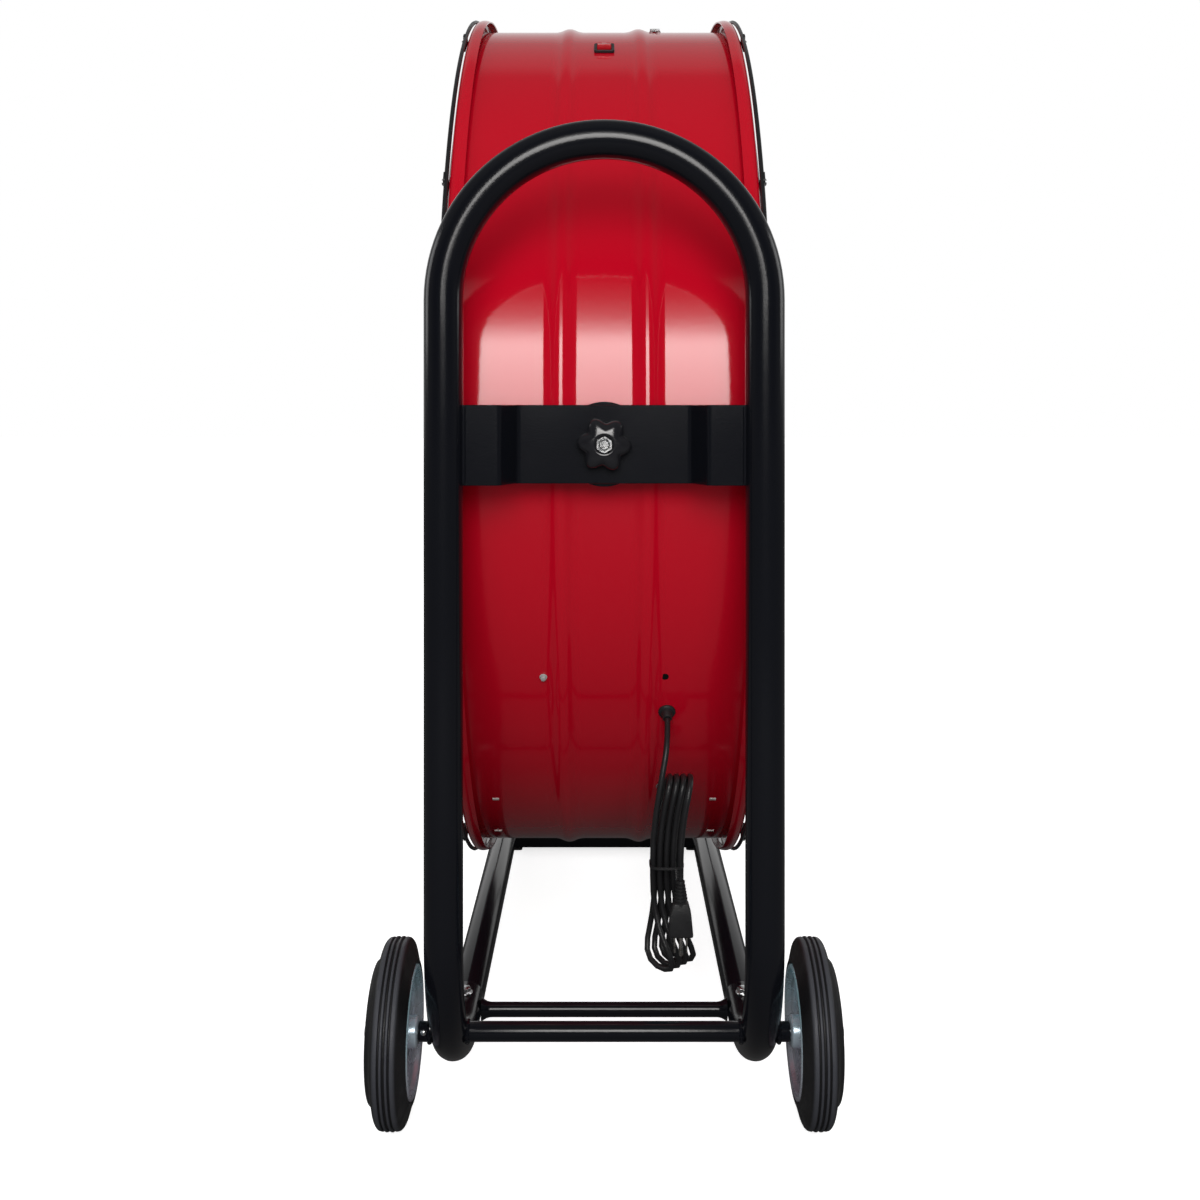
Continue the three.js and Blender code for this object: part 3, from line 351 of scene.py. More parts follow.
def box(shape, middle, size, turn=Matrix()):
    """A cuboid, of which it gives back the corners."""
    place = turn @ Matrix.Translation(middle) @ Matrix.Diagonal((*size, 1))
    return bmesh.ops.create_cube(shape, size=1, matrix=place)["verts"]


def rounded(shape, edges, size, segments):
    """Rounds chosen edges."""
    bmesh.ops.bevel(shape, geom=list(edges), offset=size, offset_type="OFFSET", affect="EDGES",
                    segments=segments, profile=0.5, material=-1)


def stood(shape, known, middle, axis):
    """Turns what is new in a shape from the Z axis to another one, and moves it to a point."""
    new = [v for v in shape.verts if v not in known]
    upright = Vector((0, 0, 1)).rotation_difference(Vector(axis)).to_matrix().to_4x4()
    bmesh.ops.transform(shape, matrix=Matrix.Translation(middle) @ upright, verts=new)


def moved(grown):
    """The corners among what an operator made."""
    return [v for v in grown if isinstance(v, bmesh.types.BMVert)]


matt_black = new_finish(
    "matt_black_plastic", (0.011, 0.011, 0.012), (0.36, 0.52, 90), (0.3, 1400))

tie_middle = Vector((0.066, hank_y - 0.0035, hank_waist))
tie_half = Vector((0.0183, 0.0170))
shape = bmesh.new()
ring = bmesh.ops.create_circle(shape, cap_ends=False, segments=48, radius=1)["verts"]
for vert in ring:
    corner = Vector((abs(vert.co.x) ** 0.55 * (1 if vert.co.x > 0 else -1),
                     abs(vert.co.y) ** 0.55 * (1 if vert.co.y > 0 else -1)))
    vert.co = (tie_middle.x + corner.x * tie_half.x, tie_middle.y + corner.y * tie_half.y,
               hank_waist - 0.0013)
band = bmesh.ops.extrude_edge_only(shape, edges=shape.edges[:])["geom"]
bmesh.ops.translate(shape, verts=moved(band), vec=(0, 0, 0.0026))
bmesh.ops.recalc_face_normals(shape, faces=shape.faces)
bmesh.ops.solidify(shape, geom=shape.faces[:], thickness=0.0009)
for strand in (0, pi):
    twisted = [Vector((tie_middle.x + 0.010 + 0.0011 * cos(strand + i * 0.7),
                       tie_middle.y - tie_half.y - 0.0016
                       - 0.0006 * i, hank_waist - 0.0004 * i + 0.0011 * sin(strand + i * 0.7)))
               for i in range(16)]
    tail = bmesh.ops.create_circle(shape, segments=8, radius=0.0008,
                                   matrix=Matrix.Translation(twisted[0])
                                   @ Matrix.Rotation(pi / 2, 4, "X"))["verts"]
    loop = list({edge for vert in tail for edge in vert.link_edges})
    bmesh.ops.contextual_create(shape, geom=loop)
    for a, b in zip(twisted, twisted[1:]):
        grown = bmesh.ops.extrude_edge_only(shape, edges=loop)["geom"]
        tips = {v for v in grown if isinstance(v, bmesh.types.BMVert)}
        bmesh.ops.translate(shape, verts=list(tips), vec=b - a)
        loop = [e for e in grown if isinstance(e, bmesh.types.BMEdge) and tips.issuperset(e.verts)]
    bmesh.ops.contextual_create(shape, geom=loop)
tie = finished("cord_tie_wire", shape, matt_black, "drum", "black_plastic", "cord_tie")

relief_length, plug_height, plug_width, plug_depth = 0.022, 0.036, 0.026, 0.018
plug_middle = plug_top - Vector((0, 0, 0.0003))
shape = bmesh.new()
ribs = [(0.0031, 0), (0.0043, 0)]
for i in range(6):
    wide = 0.0045 + 0.00055 * i
    top = -0.0012 - i * 0.0034
    ribs += [(wide, top), (wide, top - 0.0019), (wide - 0.0011, top - 0.0022),
             (wide - 0.0011, top - 0.0032)]
ribs += [(0.0078, -relief_length), (0.0078, -relief_length - 0.003), (0, -relief_length - 0.003)]
line = drawn(shape, [(r, 0, z) for r, z in ribs])
turned(shape, line, (0, 0, 0), (0, 0, 1), 40)
block = box(shape, (0, 0, -relief_length - plug_height / 2), (plug_width, plug_depth, plug_height))
for vert in block:
    if vert.co.z > -relief_length - plug_height / 2:
        vert.co.x *= 0.56
        vert.co.y *= 0.80
waist = bmesh.ops.bisect_plane(shape, geom=list({f for v in block for f in v.link_faces})
                               + list({e for v in block for e in v.link_edges}) + block,
                               plane_co=(0, 0, -relief_length - 0.011),
                               plane_no=(0, 0, 1))["geom_cut"]
for vert in [v for v in waist if isinstance(v, bmesh.types.BMVert)]:
    vert.co.x *= plug_width / 2 / abs(vert.co.x)
    vert.co.y *= plug_depth / 2 / abs(vert.co.y)
hull = [e for e in shape.edges if abs(e.verts[0].co.x) > 0.0068 and e.calc_face_angle(0) > 0.5
        and e.verts[0].co.z < -relief_length + 0.0001 and e.verts[1].co.z < -relief_length + 0.0001
        and abs(e.verts[1].co.x) > 0.0068]
rounded(shape, hull, 0.0022, 4)
plug = finished("plug_body", shape, matt_black, "drum", "black_plastic", "cord_plug", sharp=38,
                at=Matrix.Translation(plug_middle))

nickel = new_finish(
    "nickel_pins", (0.62, 0.60, 0.56), (0.18, 0.34, 220), (0.15, 700), metallic=1.0)
shape = bmesh.new()
face_z = -relief_length - plug_height
for x in (-0.00635, 0.00635):
    pin = box(shape, (x, 0.0015, face_z - 0.0088), (0.0016, 0.0064, 0.0184))
    tip = [e for v in pin for e in v.link_edges if all(w.co.z < face_z - 0.015 for w in e.verts)]
    rounded(shape, list(set(tip)), 0.0005, 2)
line = drawn(shape, [(0, -0.005, face_z + 0.001), (0.0024, -0.005, face_z + 0.001),
                     (0.0024, -0.005, face_z - 0.0195), (0, -0.005, face_z - 0.0198)],
             (0, 0, 0.0016, 0))
turned(shape, line, (0, -0.005, 0), (0, 0, 1), 20)
pins = finished("plug_pins", shape, nickel, "drum", "zinc", at=Matrix.Translation(plug_middle))

# ---- Frame tubes --------------------------------------------------------------------------------
# Two arches, each bent from one 38 mm steel tube: handle, two legs and two feet that turn back
# and take the rails' swaged ends. All is coated in satin black powder and joined by bolts.
tube_radius, leg_x = 0.019, 0.1552
arch_offset = 0.632
near_plane, far_plane = drum_middle - arch_offset, drum_middle + arch_offset
rail_z, crown_z, foot_bend = 0.0434, 0.816, 0.158
joint_setback, bolt_setback = 0.228, 0.198

powder_coat = new_finish(
    "satin_black_powder_coat", (0.0040, 0.0045, 0.0066), (0.15, 0.20, 9, 6),
                         (0.10, 520, 3.0, 0.0006), specular=0.36)


def straight(shape, section, travel):
    """Draws an open end of tube out along a straight."""
    grown = bmesh.ops.extrude_edge_only(shape, edges=section)["geom"]
    tips = {v for v in grown if isinstance(v, bmesh.types.BMVert)}
    bmesh.ops.translate(shape, verts=list(tips), vec=travel)
    return [e for e in grown if isinstance(e, bmesh.types.BMEdge) and tips.issuperset(e.verts)]


def bent(shape, section, middle, axis, angle, steps):
    """Rolls an open end of tube round a bend."""
    geom = list({v for e in section for v in e.verts}) + section
    last = bmesh.ops.spin(shape, geom=geom, cent=middle, axis=axis, angle=angle,
                          steps=steps)["geom_last"]
    return [e for e in last if isinstance(e, bmesh.types.BMEdge)]


for side, plane, name in ((-1, near_plane, "near_arch"), (1, far_plane, "far_arch")):
    shape = bmesh.new()
    start = Vector((-leg_x, plane - side * joint_setback, rail_z))
    bmesh.ops.create_circle(shape, segments=48, radius=tube_radius,
                            matrix=Matrix.Translation(start) @ Matrix.Rotation(pi / 2, 4, "X"))
    section = shape.edges[:]
    bmesh.ops.contextual_create(shape, geom=section)
    foot_y = plane - side * foot_bend
    section = straight(shape, section, (0, foot_y - start.y, 0))
    section = bent(shape, section, (0, foot_y, rail_z + foot_bend), (1, 0, 0), side * pi / 2, 20)
    section = straight(shape, section, (0, 0, crown_z - rail_z - foot_bend))
    section = bent(shape, section, (0, plane, crown_z), (0, 1, 0), pi, 56)
    section = straight(shape, section, (0, 0, rail_z + foot_bend - crown_z))
    section = bent(shape, section, (0, foot_y, rail_z + foot_bend), (1, 0, 0), -side * pi / 2, 20)
    section = straight(shape, section, (0, start.y - foot_y, 0))
    bmesh.ops.contextual_create(shape, geom=section)
    finished(f"{name}_tube", shape, powder_coat, "stand", "frame_paint", name)

for side, name in ((-1, "left_rail"), (1, "right_rail")):
    shape = bmesh.new()
    reach = arch_offset - joint_setback - 0.0003
    bmesh.ops.create_cone(shape, cap_ends=True, segments=48, radius1=tube_radius,
                          radius2=tube_radius,
                          depth=2 * reach,
                          matrix=Matrix.Translation((side * leg_x, drum_middle, rail_z))
                          @ Matrix.Rotation(pi / 2, 4, "X"))
    rims = [e for e in shape.edges if e.calc_face_angle(0) > 1]
    rounded(shape, rims, 0.0010, 3)
    finished(f"{name}_tube", shape, powder_coat, "stand", "frame_paint", name)

# ---- Cross tubes, foot bar and axle tube --------------------------------------------------------
# Two thin tubes are welded between the rails. A flat bar with two rubber pads lies under them,
# and the axle runs in a tube that passes through both feet of the near arch.
def weld(shape, middle, axis, radius, size):
    """A wavy bead of weld round a tube, about an axis through a point."""
    before = set(shape.verts)
    bead = bmesh.ops.create_circle(shape, segments=8, radius=size,
                                   matrix=Matrix.Translation((radius, 0, 0))
                                   @ Matrix.Rotation(pi / 2, 4, "X"))
    geom = bead["verts"] + list({e for v in bead["verts"] for e in v.link_edges})
    bmesh.ops.spin(shape, geom=geom, cent=(0, 0, 0), axis=(0, 0, 1), angle=2 * pi, steps=48,
                   use_merge=True)
    new = [v for v in shape.verts if v not in before]
    for vert in new:
        swell = 1 + 0.05 * sin(9 * atan2(vert.co.y, vert.co.x)) ** 2
        vert.co = (vert.co.x * swell, vert.co.y * swell,
                   vert.co.z * (1 + 0.3 * sin(11 * atan2(vert.co.y, vert.co.x))))
    stood(shape, before, middle, axis)


rail_reach = leg_x - tube_radius
for side, plane, name in ((-1, near_plane, "near_cross_tube"), (1, far_plane, "far_cross_tube")):
    middle = Vector((0, plane - side * bolt_setback, rail_z))
    shape = bmesh.new()
    line = drawn(shape, [(-rail_reach, 0, 0.0125), (-rail_reach + 0.007, 0, 0.0080),
                         (rail_reach - 0.007, 0, 0.0080), (rail_reach, 0, 0.0125)],
                 (0, 0.004, 0.004, 0))
    turned(shape, line, (0, 0, 0), (1, 0, 0), 40)
    bmesh.ops.translate(shape, verts=shape.verts, vec=middle)
    bmesh.ops.holes_fill(shape, edges=shape.edges)
    finished(f"{name}_welded", shape, powder_coat, "stand", "frame_paint", name)

foot_y_middle = drum_middle + 0.250
bar_low, bar_high = 0.004, rail_z - tube_radius - 0.0003
shape = bmesh.new()
box(shape, (0, foot_y_middle, (bar_low + bar_high) / 2), (0.352, 0.024, bar_high - bar_low))
ends = [f for f in shape.faces if abs(f.normal.x) > 0.9]
bmesh.ops.inset_region(shape, faces=ends, thickness=0.0016)
for end in ends:
    bmesh.ops.translate(shape, verts=end.verts,
                        vec=(-0.02 if end.calc_center_median().x > 0 else 0.02, 0, 0))
along = [e for e in shape.edges if abs(e.verts[0].co.x - e.verts[1].co.x) > 0.3]
rounded(shape, along, 0.0025, 4)
finished("foot_bar_tube", shape, powder_coat, "stand", "frame_paint", "foot_bar", sharp=20)

foot_rubber = new_finish("foot_rubber", (0.014, 0.014, 0.014), (0.66, 0.86, 80), (0.4, 900))
for side, name in ((-1, "left_foot_pad"), (1, "right_foot_pad")):
    shape = bmesh.new()
    box(shape, (side * 0.154, foot_y_middle, 0.00185), (0.044, 0.024, 0.0037))
    upright = [e for e in shape.edges if abs(e.verts[0].co.z - e.verts[1].co.z) > 0.001]
    rounded(shape, upright, 0.004, 5)
    flat = [e for e in shape.edges if e.calc_face_angle(0) > 1.2]
    rounded(shape, flat, 0.0006, 2)
    finished(f"{name}_moulded", shape, foot_rubber, "stand", "foot_rubber", name)

axle_y, axle_z = near_plane + foot_bend * (1 - sqrt(0.5)), 0.089
axle_middle = Vector((0, axle_y, axle_z))
shape = bmesh.new()
line = drawn(shape,
             [(-0.185, 0, 0.0068), (-0.185, 0, 0.0097), (0.185, 0, 0.0097), (0.185, 0, 0.0068)],
             (0, 0.0008, 0.0008, 0), closed=True)
turned(shape, line, (0, 0, 0), (1, 0, 0), 48)
bmesh.ops.translate(shape, verts=shape.verts, vec=axle_middle)
for x in (-leg_x - 0.0188, -leg_x + 0.0188, leg_x - 0.0188, leg_x + 0.0188):
    weld(shape, axle_middle + Vector((x, 0, 0)), (1, 0, 0), 0.0097, 0.0021)
finished("axle_tube_welded", shape, powder_coat, "stand", "frame_paint", "axle_tube")

# ---- Frame bolts --------------------------------------------------------------------------------
# A zinc-plated hexagon bolt goes down through each joint of arch and rail, with a washer under
# its head and a nut below.
bright_zinc = new_finish(
    "bright_zinc_plate", (0.66, 0.67, 0.68), (0.17, 0.34, 190), (0.12, 800), metallic=1.0)
tree, shader = inner(bright_zinc)
mottled(tree, shader, "Base Color", (0.56, 0.575, 0.60), (0.74, 0.74, 0.73), 140)


def hexagon(shape, middle, axis, radius, height, turn=0.0):
    """A chamfered hexagon head or nut, standing on a point along an axis."""
    before = set(shape.verts)
    head = bmesh.ops.create_cone(shape, cap_ends=True, segments=6, radius1=radius, radius2=radius,
                                 depth=height,
                                 matrix=Matrix.Translation((0, 0, height / 2))
                                 @ Matrix.Rotation(turn, 4, "Z"))["verts"]
    top = [f for f in {f for v in head for f in v.link_faces} if f.normal.z > 0.9]
    rounded(shape, list(top[0].edges), height * 0.14, 2)
    stood(shape, before, middle, axis)


def disc(shape, profile, steps=40, middle=(0, 0, 0), axis=(0, 0, 1)):
    """A round solid from (radius, height) corners, standing on a point along an axis."""
    before = set(shape.verts)
    line = drawn(shape, [(r, 0, h) for r, h in profile], closed=profile[0][0] > 0)
    geom = list({vert for edge in line for vert in edge.verts}) + line
    bmesh.ops.spin(shape, geom=geom, cent=(0, 0, 0), axis=(0, 0, 1), angle=2 * pi, steps=steps,
                   use_merge=True)
    new = [v for v in shape.verts if v not in before]
    bmesh.ops.remove_doubles(shape, verts=new, dist=1e-6)
    stood(shape, before, middle, axis)


def lathed(name, profile, steps, *looks, axis=(0, 0, 1), **settings):
    """A piece that is one round solid; the rest is passed on to finished."""
    shape = bmesh.new()
    disc(shape, profile, steps, axis=axis)
    return finished(name, shape, *looks, **settings)


for x, sideways in ((-leg_x, "left"), (leg_x, "right")):
    for y, end in ((near_plane + bolt_setback, "near"), (far_plane - bolt_setback, "far")):
        top = Vector((x, y, rail_z + tube_radius - 0.0002))
        under = Vector((x, y, rail_z - tube_radius + 0.0002))
        shape = bmesh.new()
        disc(shape, [(0, 0), (0.0088, 0), (0.0092, 0.0007), (0.0088, 0.0014), (0, 0.0014)], 40, top)
        hexagon(shape, top + Vector((0, 0, 0.0013)), (0, 0, 1), 0.0074, 0.0046, 0.35)
        hexagon(shape, under, (0, 0, -1), 0.0074, 0.0060, 0.1)
        disc(shape, [(0, 0), (0.0040, 0), (0.0040, 0.0030), (0.0034, 0.0036), (0, 0.0036)], 20,
             under - Vector((0, 0, 0.0055)), (0, 0, -1))
        finished(f"{end}_{sideways}_bolt_and_nut", shape, bright_zinc, "stand", "zinc",
                 f"{end}_{sideways}_frame_bolt")

# ---- Axle ---------------------------------------------------------------------------------------
# A plated steel rod through both wheels, with a split pin in a cross hole at each end. A small
# screw in the tube's front holds the rod.
shape = bmesh.new()
line = drawn(shape, [(-0.239, 0, 0), (-0.239, 0, 0.0063), (0.239, 0, 0.0063), (0.239, 0, 0)],
             (0, 0.0012, 0.0012, 0))
turned(shape, line, (0, 0, 0), (1, 0, 0), 40)
finished("axle_rod", shape, bright_zinc, "stand", "zinc", "axle",
         at=Matrix.Translation(axle_middle))

shape = bmesh.new()
disc(shape, [(0, -0.001), (0.0030, -0.001), (0.0028, 0.0006), (0.0018, 0.0013), (0, 0.0015)], 24,
     Vector((-0.1795, axle_y - 0.0094, axle_z + 0.003)), (0, -1, 0.3))
finished("axle_tube_screw", shape, bright_zinc, "stand", "zinc")

for side, name in ((-1, "left_cotter_pin"), (1, "right_cotter_pin")):
    pin_x = side * 0.234
    shape = bmesh.new()
    eye = bmesh.ops.create_circle(shape, segments=10, radius=0.0011,
                                  matrix=Matrix.Translation((0.0036, 0, 0))
                                  @ Matrix.Rotation(pi / 2, 4, "X"))["verts"]
    geom = eye + list({e for v in eye for e in v.link_edges})
    bmesh.ops.spin(shape, geom=geom, cent=(0, 0, 0), axis=(0, 0, 1), angle=2 * pi, steps=28,
                   use_merge=True)
    bmesh.ops.rotate(shape, verts=shape.verts, cent=(0, 0, 0),
                     matrix=Matrix.Rotation(pi / 2, 3, "Y"))
    bmesh.ops.translate(shape, verts=shape.verts, vec=(0, -0.0098, 0))
    for lean in (-1, 1):
        leg = bmesh.ops.create_circle(shape, cap_ends=True, segments=10, radius=0.0008,
                                      matrix=Matrix.Translation((0, -0.0066, lean * 0.0008))
                                      @ Matrix.Rotation(pi / 2, 4, "X"))["verts"]
        section = list({e for v in leg for e in v.link_edges})
        section = straight(shape, section, (0, 0.0136, 0))
        section = straight(shape, section, (0, 0.0028, lean * 0.0024))
        bmesh.ops.contextual_create(shape, geom=section)
    finished(f"{name}_split", shape, bright_zinc, "stand", "zinc", name,
             at=Matrix.Translation((pin_x, axle_y, axle_z)))

# ---- Wheels -------------------------------------------------------------------------------------
# Semi-pneumatic tyres of black rubber with three ribs and a raised lip round the wheel. The rib
# tops are painted a bluish grey as a painted highlight, and the grooves between them near-black as
# painted shade. Each wheel is a pressed steel dish with a turned hub, in bluish zinc plate, painted
# brighter and cyan towards the top and dark purple towards the bottom as painted reflection and
# painted shade.
tyre_rubber = new_finish(
    "tyre_rubber", (0.017, 0.017, 0.018), (0.40, 0.66, 46, 8), (0.35, 700), specular=0.4)
tree, shader = inner(tyre_rubber)
place = wire_up(tree, "ShaderNodeTexCoord").outputs["Object"]
offset = wire_up(tree, "ShaderNodeVectorMath", {0: place, 1: (0, axle_y, axle_z)},
                 operation="SUBTRACT")
spoke = wire_up(tree, "ShaderNodeVectorMath", {0: offset.outputs["Vector"], 1: (0, 1, 1)},
                operation="MULTIPLY")
radius = wire_up(tree, "ShaderNodeVectorMath", {0: spoke.outputs["Vector"]}, operation="LENGTH")
# Painted highlight and painted shade: the rib tops of the tread get a paler bluish grey for the
# highlights on them, and the grooves between the ribs stay near-black.
rib_top_mask = wire_up(tree, "ShaderNodeMapRange",
               {"Value": radius.outputs["Value"], "From Min": 0.0864, "From Max": 0.0882})
rib_highlight_groove_shade = wire_up(tree, "ShaderNodeValToRGB", {"Fac": rib_top_mask.outputs[0]})
rib_highlight_groove_shade.color_ramp.elements[0].color = (0.0065, 0.0065, 0.0075, 1)
rib_highlight_groove_shade.color_ramp.elements[1].color = (0.040, 0.042, 0.050, 1)
tree.links.new(rib_highlight_groove_shade.outputs["Color"], shader.inputs["Base Color"])

wheel_zinc = new_finish(
    "blue_zinc_with_painted_light", (0.50, 0.57, 0.62), (0.18, 0.34, 60), (0.08, 600), metallic=0.55)
tree, shader = inner(wheel_zinc)
# Painted reflection and painted shade: by height, the base colour runs from a dark purple low on
# the wheel, through the zinc's own bluish grey, to a bright cyan at the top. A noise adds a random
# drift to the height.
place = wire_up(tree, "ShaderNodeTexCoord").outputs["Object"]
height = wire_up(tree, "ShaderNodeSeparateXYZ", {0: place})
cloud = wire_up(tree, "ShaderNodeTexNoise", {"Vector": place, "Scale": 16, "Detail": 3})
drift = wire_up(tree, "ShaderNodeMath", {0: cloud.outputs["Fac"], 1: 0.10}, operation="MULTIPLY")
level = wire_up(tree, "ShaderNodeMath", {0: height.outputs["Z"], 1: drift.outputs[0]},
                operation="ADD")
painted_light_by_height = wire_up(tree, "ShaderNodeMapRange",
               {"Value": level.outputs[0], "From Min": 0.06, "From Max": 0.20})
zinc_and_painted_light = wire_up(tree, "ShaderNodeValToRGB", {"Fac": painted_light_by_height.outputs[0]})
zinc_and_painted_light.color_ramp.elements[0].color = (0.30, 0.24, 0.30, 1)
zinc_and_painted_light.color_ramp.elements[1].color = (0.50, 0.84, 0.95, 1)
middle_tint = zinc_and_painted_light.color_ramp.elements.new(0.45)
middle_tint.color = (0.58, 0.64, 0.72, 1)
tree.links.new(zinc_and_painted_light.outputs["Color"], shader.inputs["Base Color"])

for side, name in ((-1, "left"), (1, "right")):
    wheel_x = side * 0.2075
    tread = [(0.0700, 0.0170), (0.0855, 0.0125), (0.0880, 0.0098), (0.0886, 0.0062),
             (0.0862, 0.0056), (0.0862, 0.0042),
             (0.0890, 0.0036), (0.0890, 0.0016), (0.0862, 0.0010)]
    outside = [(0.0636, 0.0180), (0.0640, 0.0212), (0.0660, 0.0215)] + tread
    inside = [(0.0636, 0.0165), (0.0642, 0.0185), (0.0668, 0.0186)] + tread
    rounding = [0.0006, 0.0009, 0.0010, 0.0020, 0.0018, 0.0010, 0.0006, 0.0004, 0.0004, 0.0006,
                0.0006, 0.0004]
    both = [(side * x, r) for r, x in outside] + [(-side * x, r) for r, x in reversed(inside)]
    shape = bmesh.new()
    line = drawn(shape, [(x, 0, r) for x, r in both], rounding + rounding[::-1], segments=3,
                 closed=True)
    turned(shape, line, (0, 0, 0), (1, 0, 0), 128)
    finished(f"{name}_ribbed_tyre", shape, tyre_rubber, f"{name}_wheel", "tyre", f"{name}_tyre",
             at=Matrix.Translation((wheel_x, axle_y, axle_z)))

    dish = [(0.0158, -0.002), (0.0270, -0.002), (0.0350, -0.0090), (0.0520, -0.0090),
            (0.0565, -0.0120),
            (0.0580, -0.0178), (0.0600, -0.0186), (0.0622, -0.0178), (0.0622, 0.0178),
            (0.0600, 0.0186), (0.0580, 0.0178)]
    shape = bmesh.new()
    line = drawn(shape, [(side * x, 0, r) for r, x in dish],
                 (0, 0.003, 0.003, 0.003, 0.002, 0.0008, 0.0008, 0.0008, 0.0008, 0.0008, 0),
                 segments=4)
    turned(shape, line, (0, 0, 0), (1, 0, 0), 96)
    pressed = finished(f"{name}_pressed_dish", shape, wheel_zinc, f"{name}_wheel", "wheel_zinc",
                       f"{name}_wheel_disc", at=Matrix.Translation((wheel_x, axle_y, axle_z)))
    sheet = pressed.modifiers.new("sheet", "SOLIDIFY")
    sheet.thickness = 0.0018
    sheet.offset = 0

    hub_in, hub_out = 0.1853, 0.2319
    hub = [(0.0067, hub_in), (0.0120, hub_in), (0.0155, hub_in + 0.0015),
           (0.0155, wheel_x * side - 0.006),
           (0.0205, wheel_x * side - 0.0045), (0.0205, wheel_x * side - 0.0005),
           (0.0155, wheel_x * side + 0.001),
           (0.0155, hub_out - 0.0015), (0.0120, hub_out), (0.0067, hub_out)]
    shape = bmesh.new()
    line = drawn(shape, [(side * x, 0, r) for r, x in hub],
                 (0, 0.001, 0.001, 0.001, 0.0005, 0.0005, 0.001, 0.001, 0.001, 0),
                 segments=3, closed=True)
    turned(shape, line, (0, 0, 0), (1, 0, 0), 64)
    finished(f"{name}_turned_hub", shape, wheel_zinc, f"{name}_wheel", "wheel_zinc",
             f"{name}_wheel_hub", at=Matrix.Translation((0, axle_y, axle_z)))

# ---- Pivot brackets -----------------------------------------------------------------------------
# A strip of 4 mm plate between the legs of each arch. Its middle is set back towards the drum, and
# its ends are welded to the tubes.
def sheet_loop(points, thickness):
    """The closed outline of a sheet that follows a line of (x, y) points."""
    flat = [Vector(point) for point in points]
    sides = [(b - a).normalized() for a, b in zip(flat, flat[1:])]
    left, right = [], []
    for i, point in enumerate(flat):
        before, after = sides[max(i - 1, 0)], sides[min(i, len(sides) - 1)]
        mitre = Vector((-before.y - after.y, before.x + after.x)).normalized()
        reach = thickness / 2 / mitre.dot(Vector((-before.y, before.x)))
        left.append(point + mitre * reach)
        right.append(point - mitre * reach)
    return left + right[::-1]


def walled(shape, corners, rounding, height, segments=5):
    """A closed outline in plan, drawn up into a solid wall from z = 0."""
    line = drawn(shape, [(corner.x, corner.y, 0) for corner in corners], rounding, segments,
                 closed=True)
    base = bmesh.ops.contextual_create(shape, geom=line)["faces"]
    grown = bmesh.ops.extrude_face_region(shape, geom=base)["geom"]
    bmesh.ops.translate(shape, verts=moved(grown), vec=(0, 0, height))
    bmesh.ops.recalc_face_normals(shape, faces=shape.faces)


def eased(shape, size, sharpest=0.9, segments=2):
    """Takes the sharpness off every edge between faces that meet at a steep angle."""
    steep = [e for e in shape.edges if len(e.link_faces) == 2 and e.calc_face_angle(0) > sharpest]
    rounded(shape, steep, size, segments)


step_back = arch_offset - 0.038
plate_half = [(-0.1368, arch_offset), (-0.1075, arch_offset), (-0.1015, arch_offset),
              (-0.0875, step_back), (-0.0815, step_back)]
plate_line = plate_half + [(-x, y) for x, y in reversed(plate_half)]
for side, name in ((-1, "near_bracket"), (1, "far_bracket")):
    shape = bmesh.new()
    corners = sheet_loop([(x, side * y) for x, y in plate_line], 0.004)
    walled(shape, corners, (0, 0, 0.004, 0.004, 0, 0, 0.004, 0.004, 0, 0) * 2, 0.078)
    eased(shape, 0.0007)
    bmesh.ops.translate(shape, verts=shape.verts, vec=(0, drum_middle, drum_axis - 0.039))
    for x in (-1, 1):
        for face in (-1, 1):
            seam = Vector((x * 0.1360, drum_middle + side * arch_offset + face * 0.0019, drum_axis))
            bmesh.ops.create_cone(shape, cap_ends=True, segments=16, radius1=0.0024, radius2=0.0024,
                                  depth=0.0740,
                                  matrix=Matrix.Translation(seam))
    finished(f"{name}_plate", shape, powder_coat, "stand", "frame_paint", name, sharp=20)

# ---- Drum shell ---------------------------------------------------------------------------------
# Rolled steel sheet with two raised beads. At each end it turns out to a flange and back into a
# band, which leaves an open channel behind the rim. The gloss red paint has a slight orange peel.
gloss_red = new_finish(
    "gloss_red_paint", (0.43, 0.002, 0.012), (0.07, 0.10, 12, 5), (0.06, 150, 1, 0.0006),
                       specular=0.5)
tree, shader = inner(gloss_red)
mottled(tree, shader, "Base Color", (0.41, 0.0018, 0.011), (0.45, 0.0024, 0.014), 5)

skin, band, face, bead = 0.5522, 0.5677, 0.1652, 0.045
half_line = [(-face + 0.0155, band - 0.0018), (-face + 0.009, band), (-face, band - 0.0012),
             (-face, skin),
             (-face + 0.0045, skin), (-bead - 0.0195, skin), (-bead - 0.0135, skin),
             (-bead - 0.0035, skin + 0.0044),
             (-bead + 0.0035, skin + 0.0044), (-bead + 0.0135, skin), (-bead + 0.0195, skin)]
shell_line = half_line + [(-x, r) for x, r in reversed(half_line)]
half_round = [0, 0.0025, 0.0062, 0.0034, 0, 0, 0.0052, 0.0034, 0.0034, 0.0052, 0]
shape = bmesh.new()
loop = sheet_loop(shell_line, 0.0016)
line = drawn(shape, [(corner.x, 0, corner.y) for corner in loop],
             (half_round + half_round[::-1]) * 2, segments=4,
             closed=True)
turned(shape, line, (0, 0, 0), (1, 0, 0), 256)
finished("rolled_drum_shell", shape, gloss_red, "drum", "drum_paint", "drum_shell", sharp=50,
         at=drum_place)


def on_drum(angle, axial, radius):
    """Stands a part on the drum, Z outwards, at an angle from the top to the near side."""
    return (Matrix.Translation((axial, drum_middle, drum_axis))
            @ Matrix.Rotation(radians(angle), 4, "X") @ Matrix.Translation((0, 0, radius)))


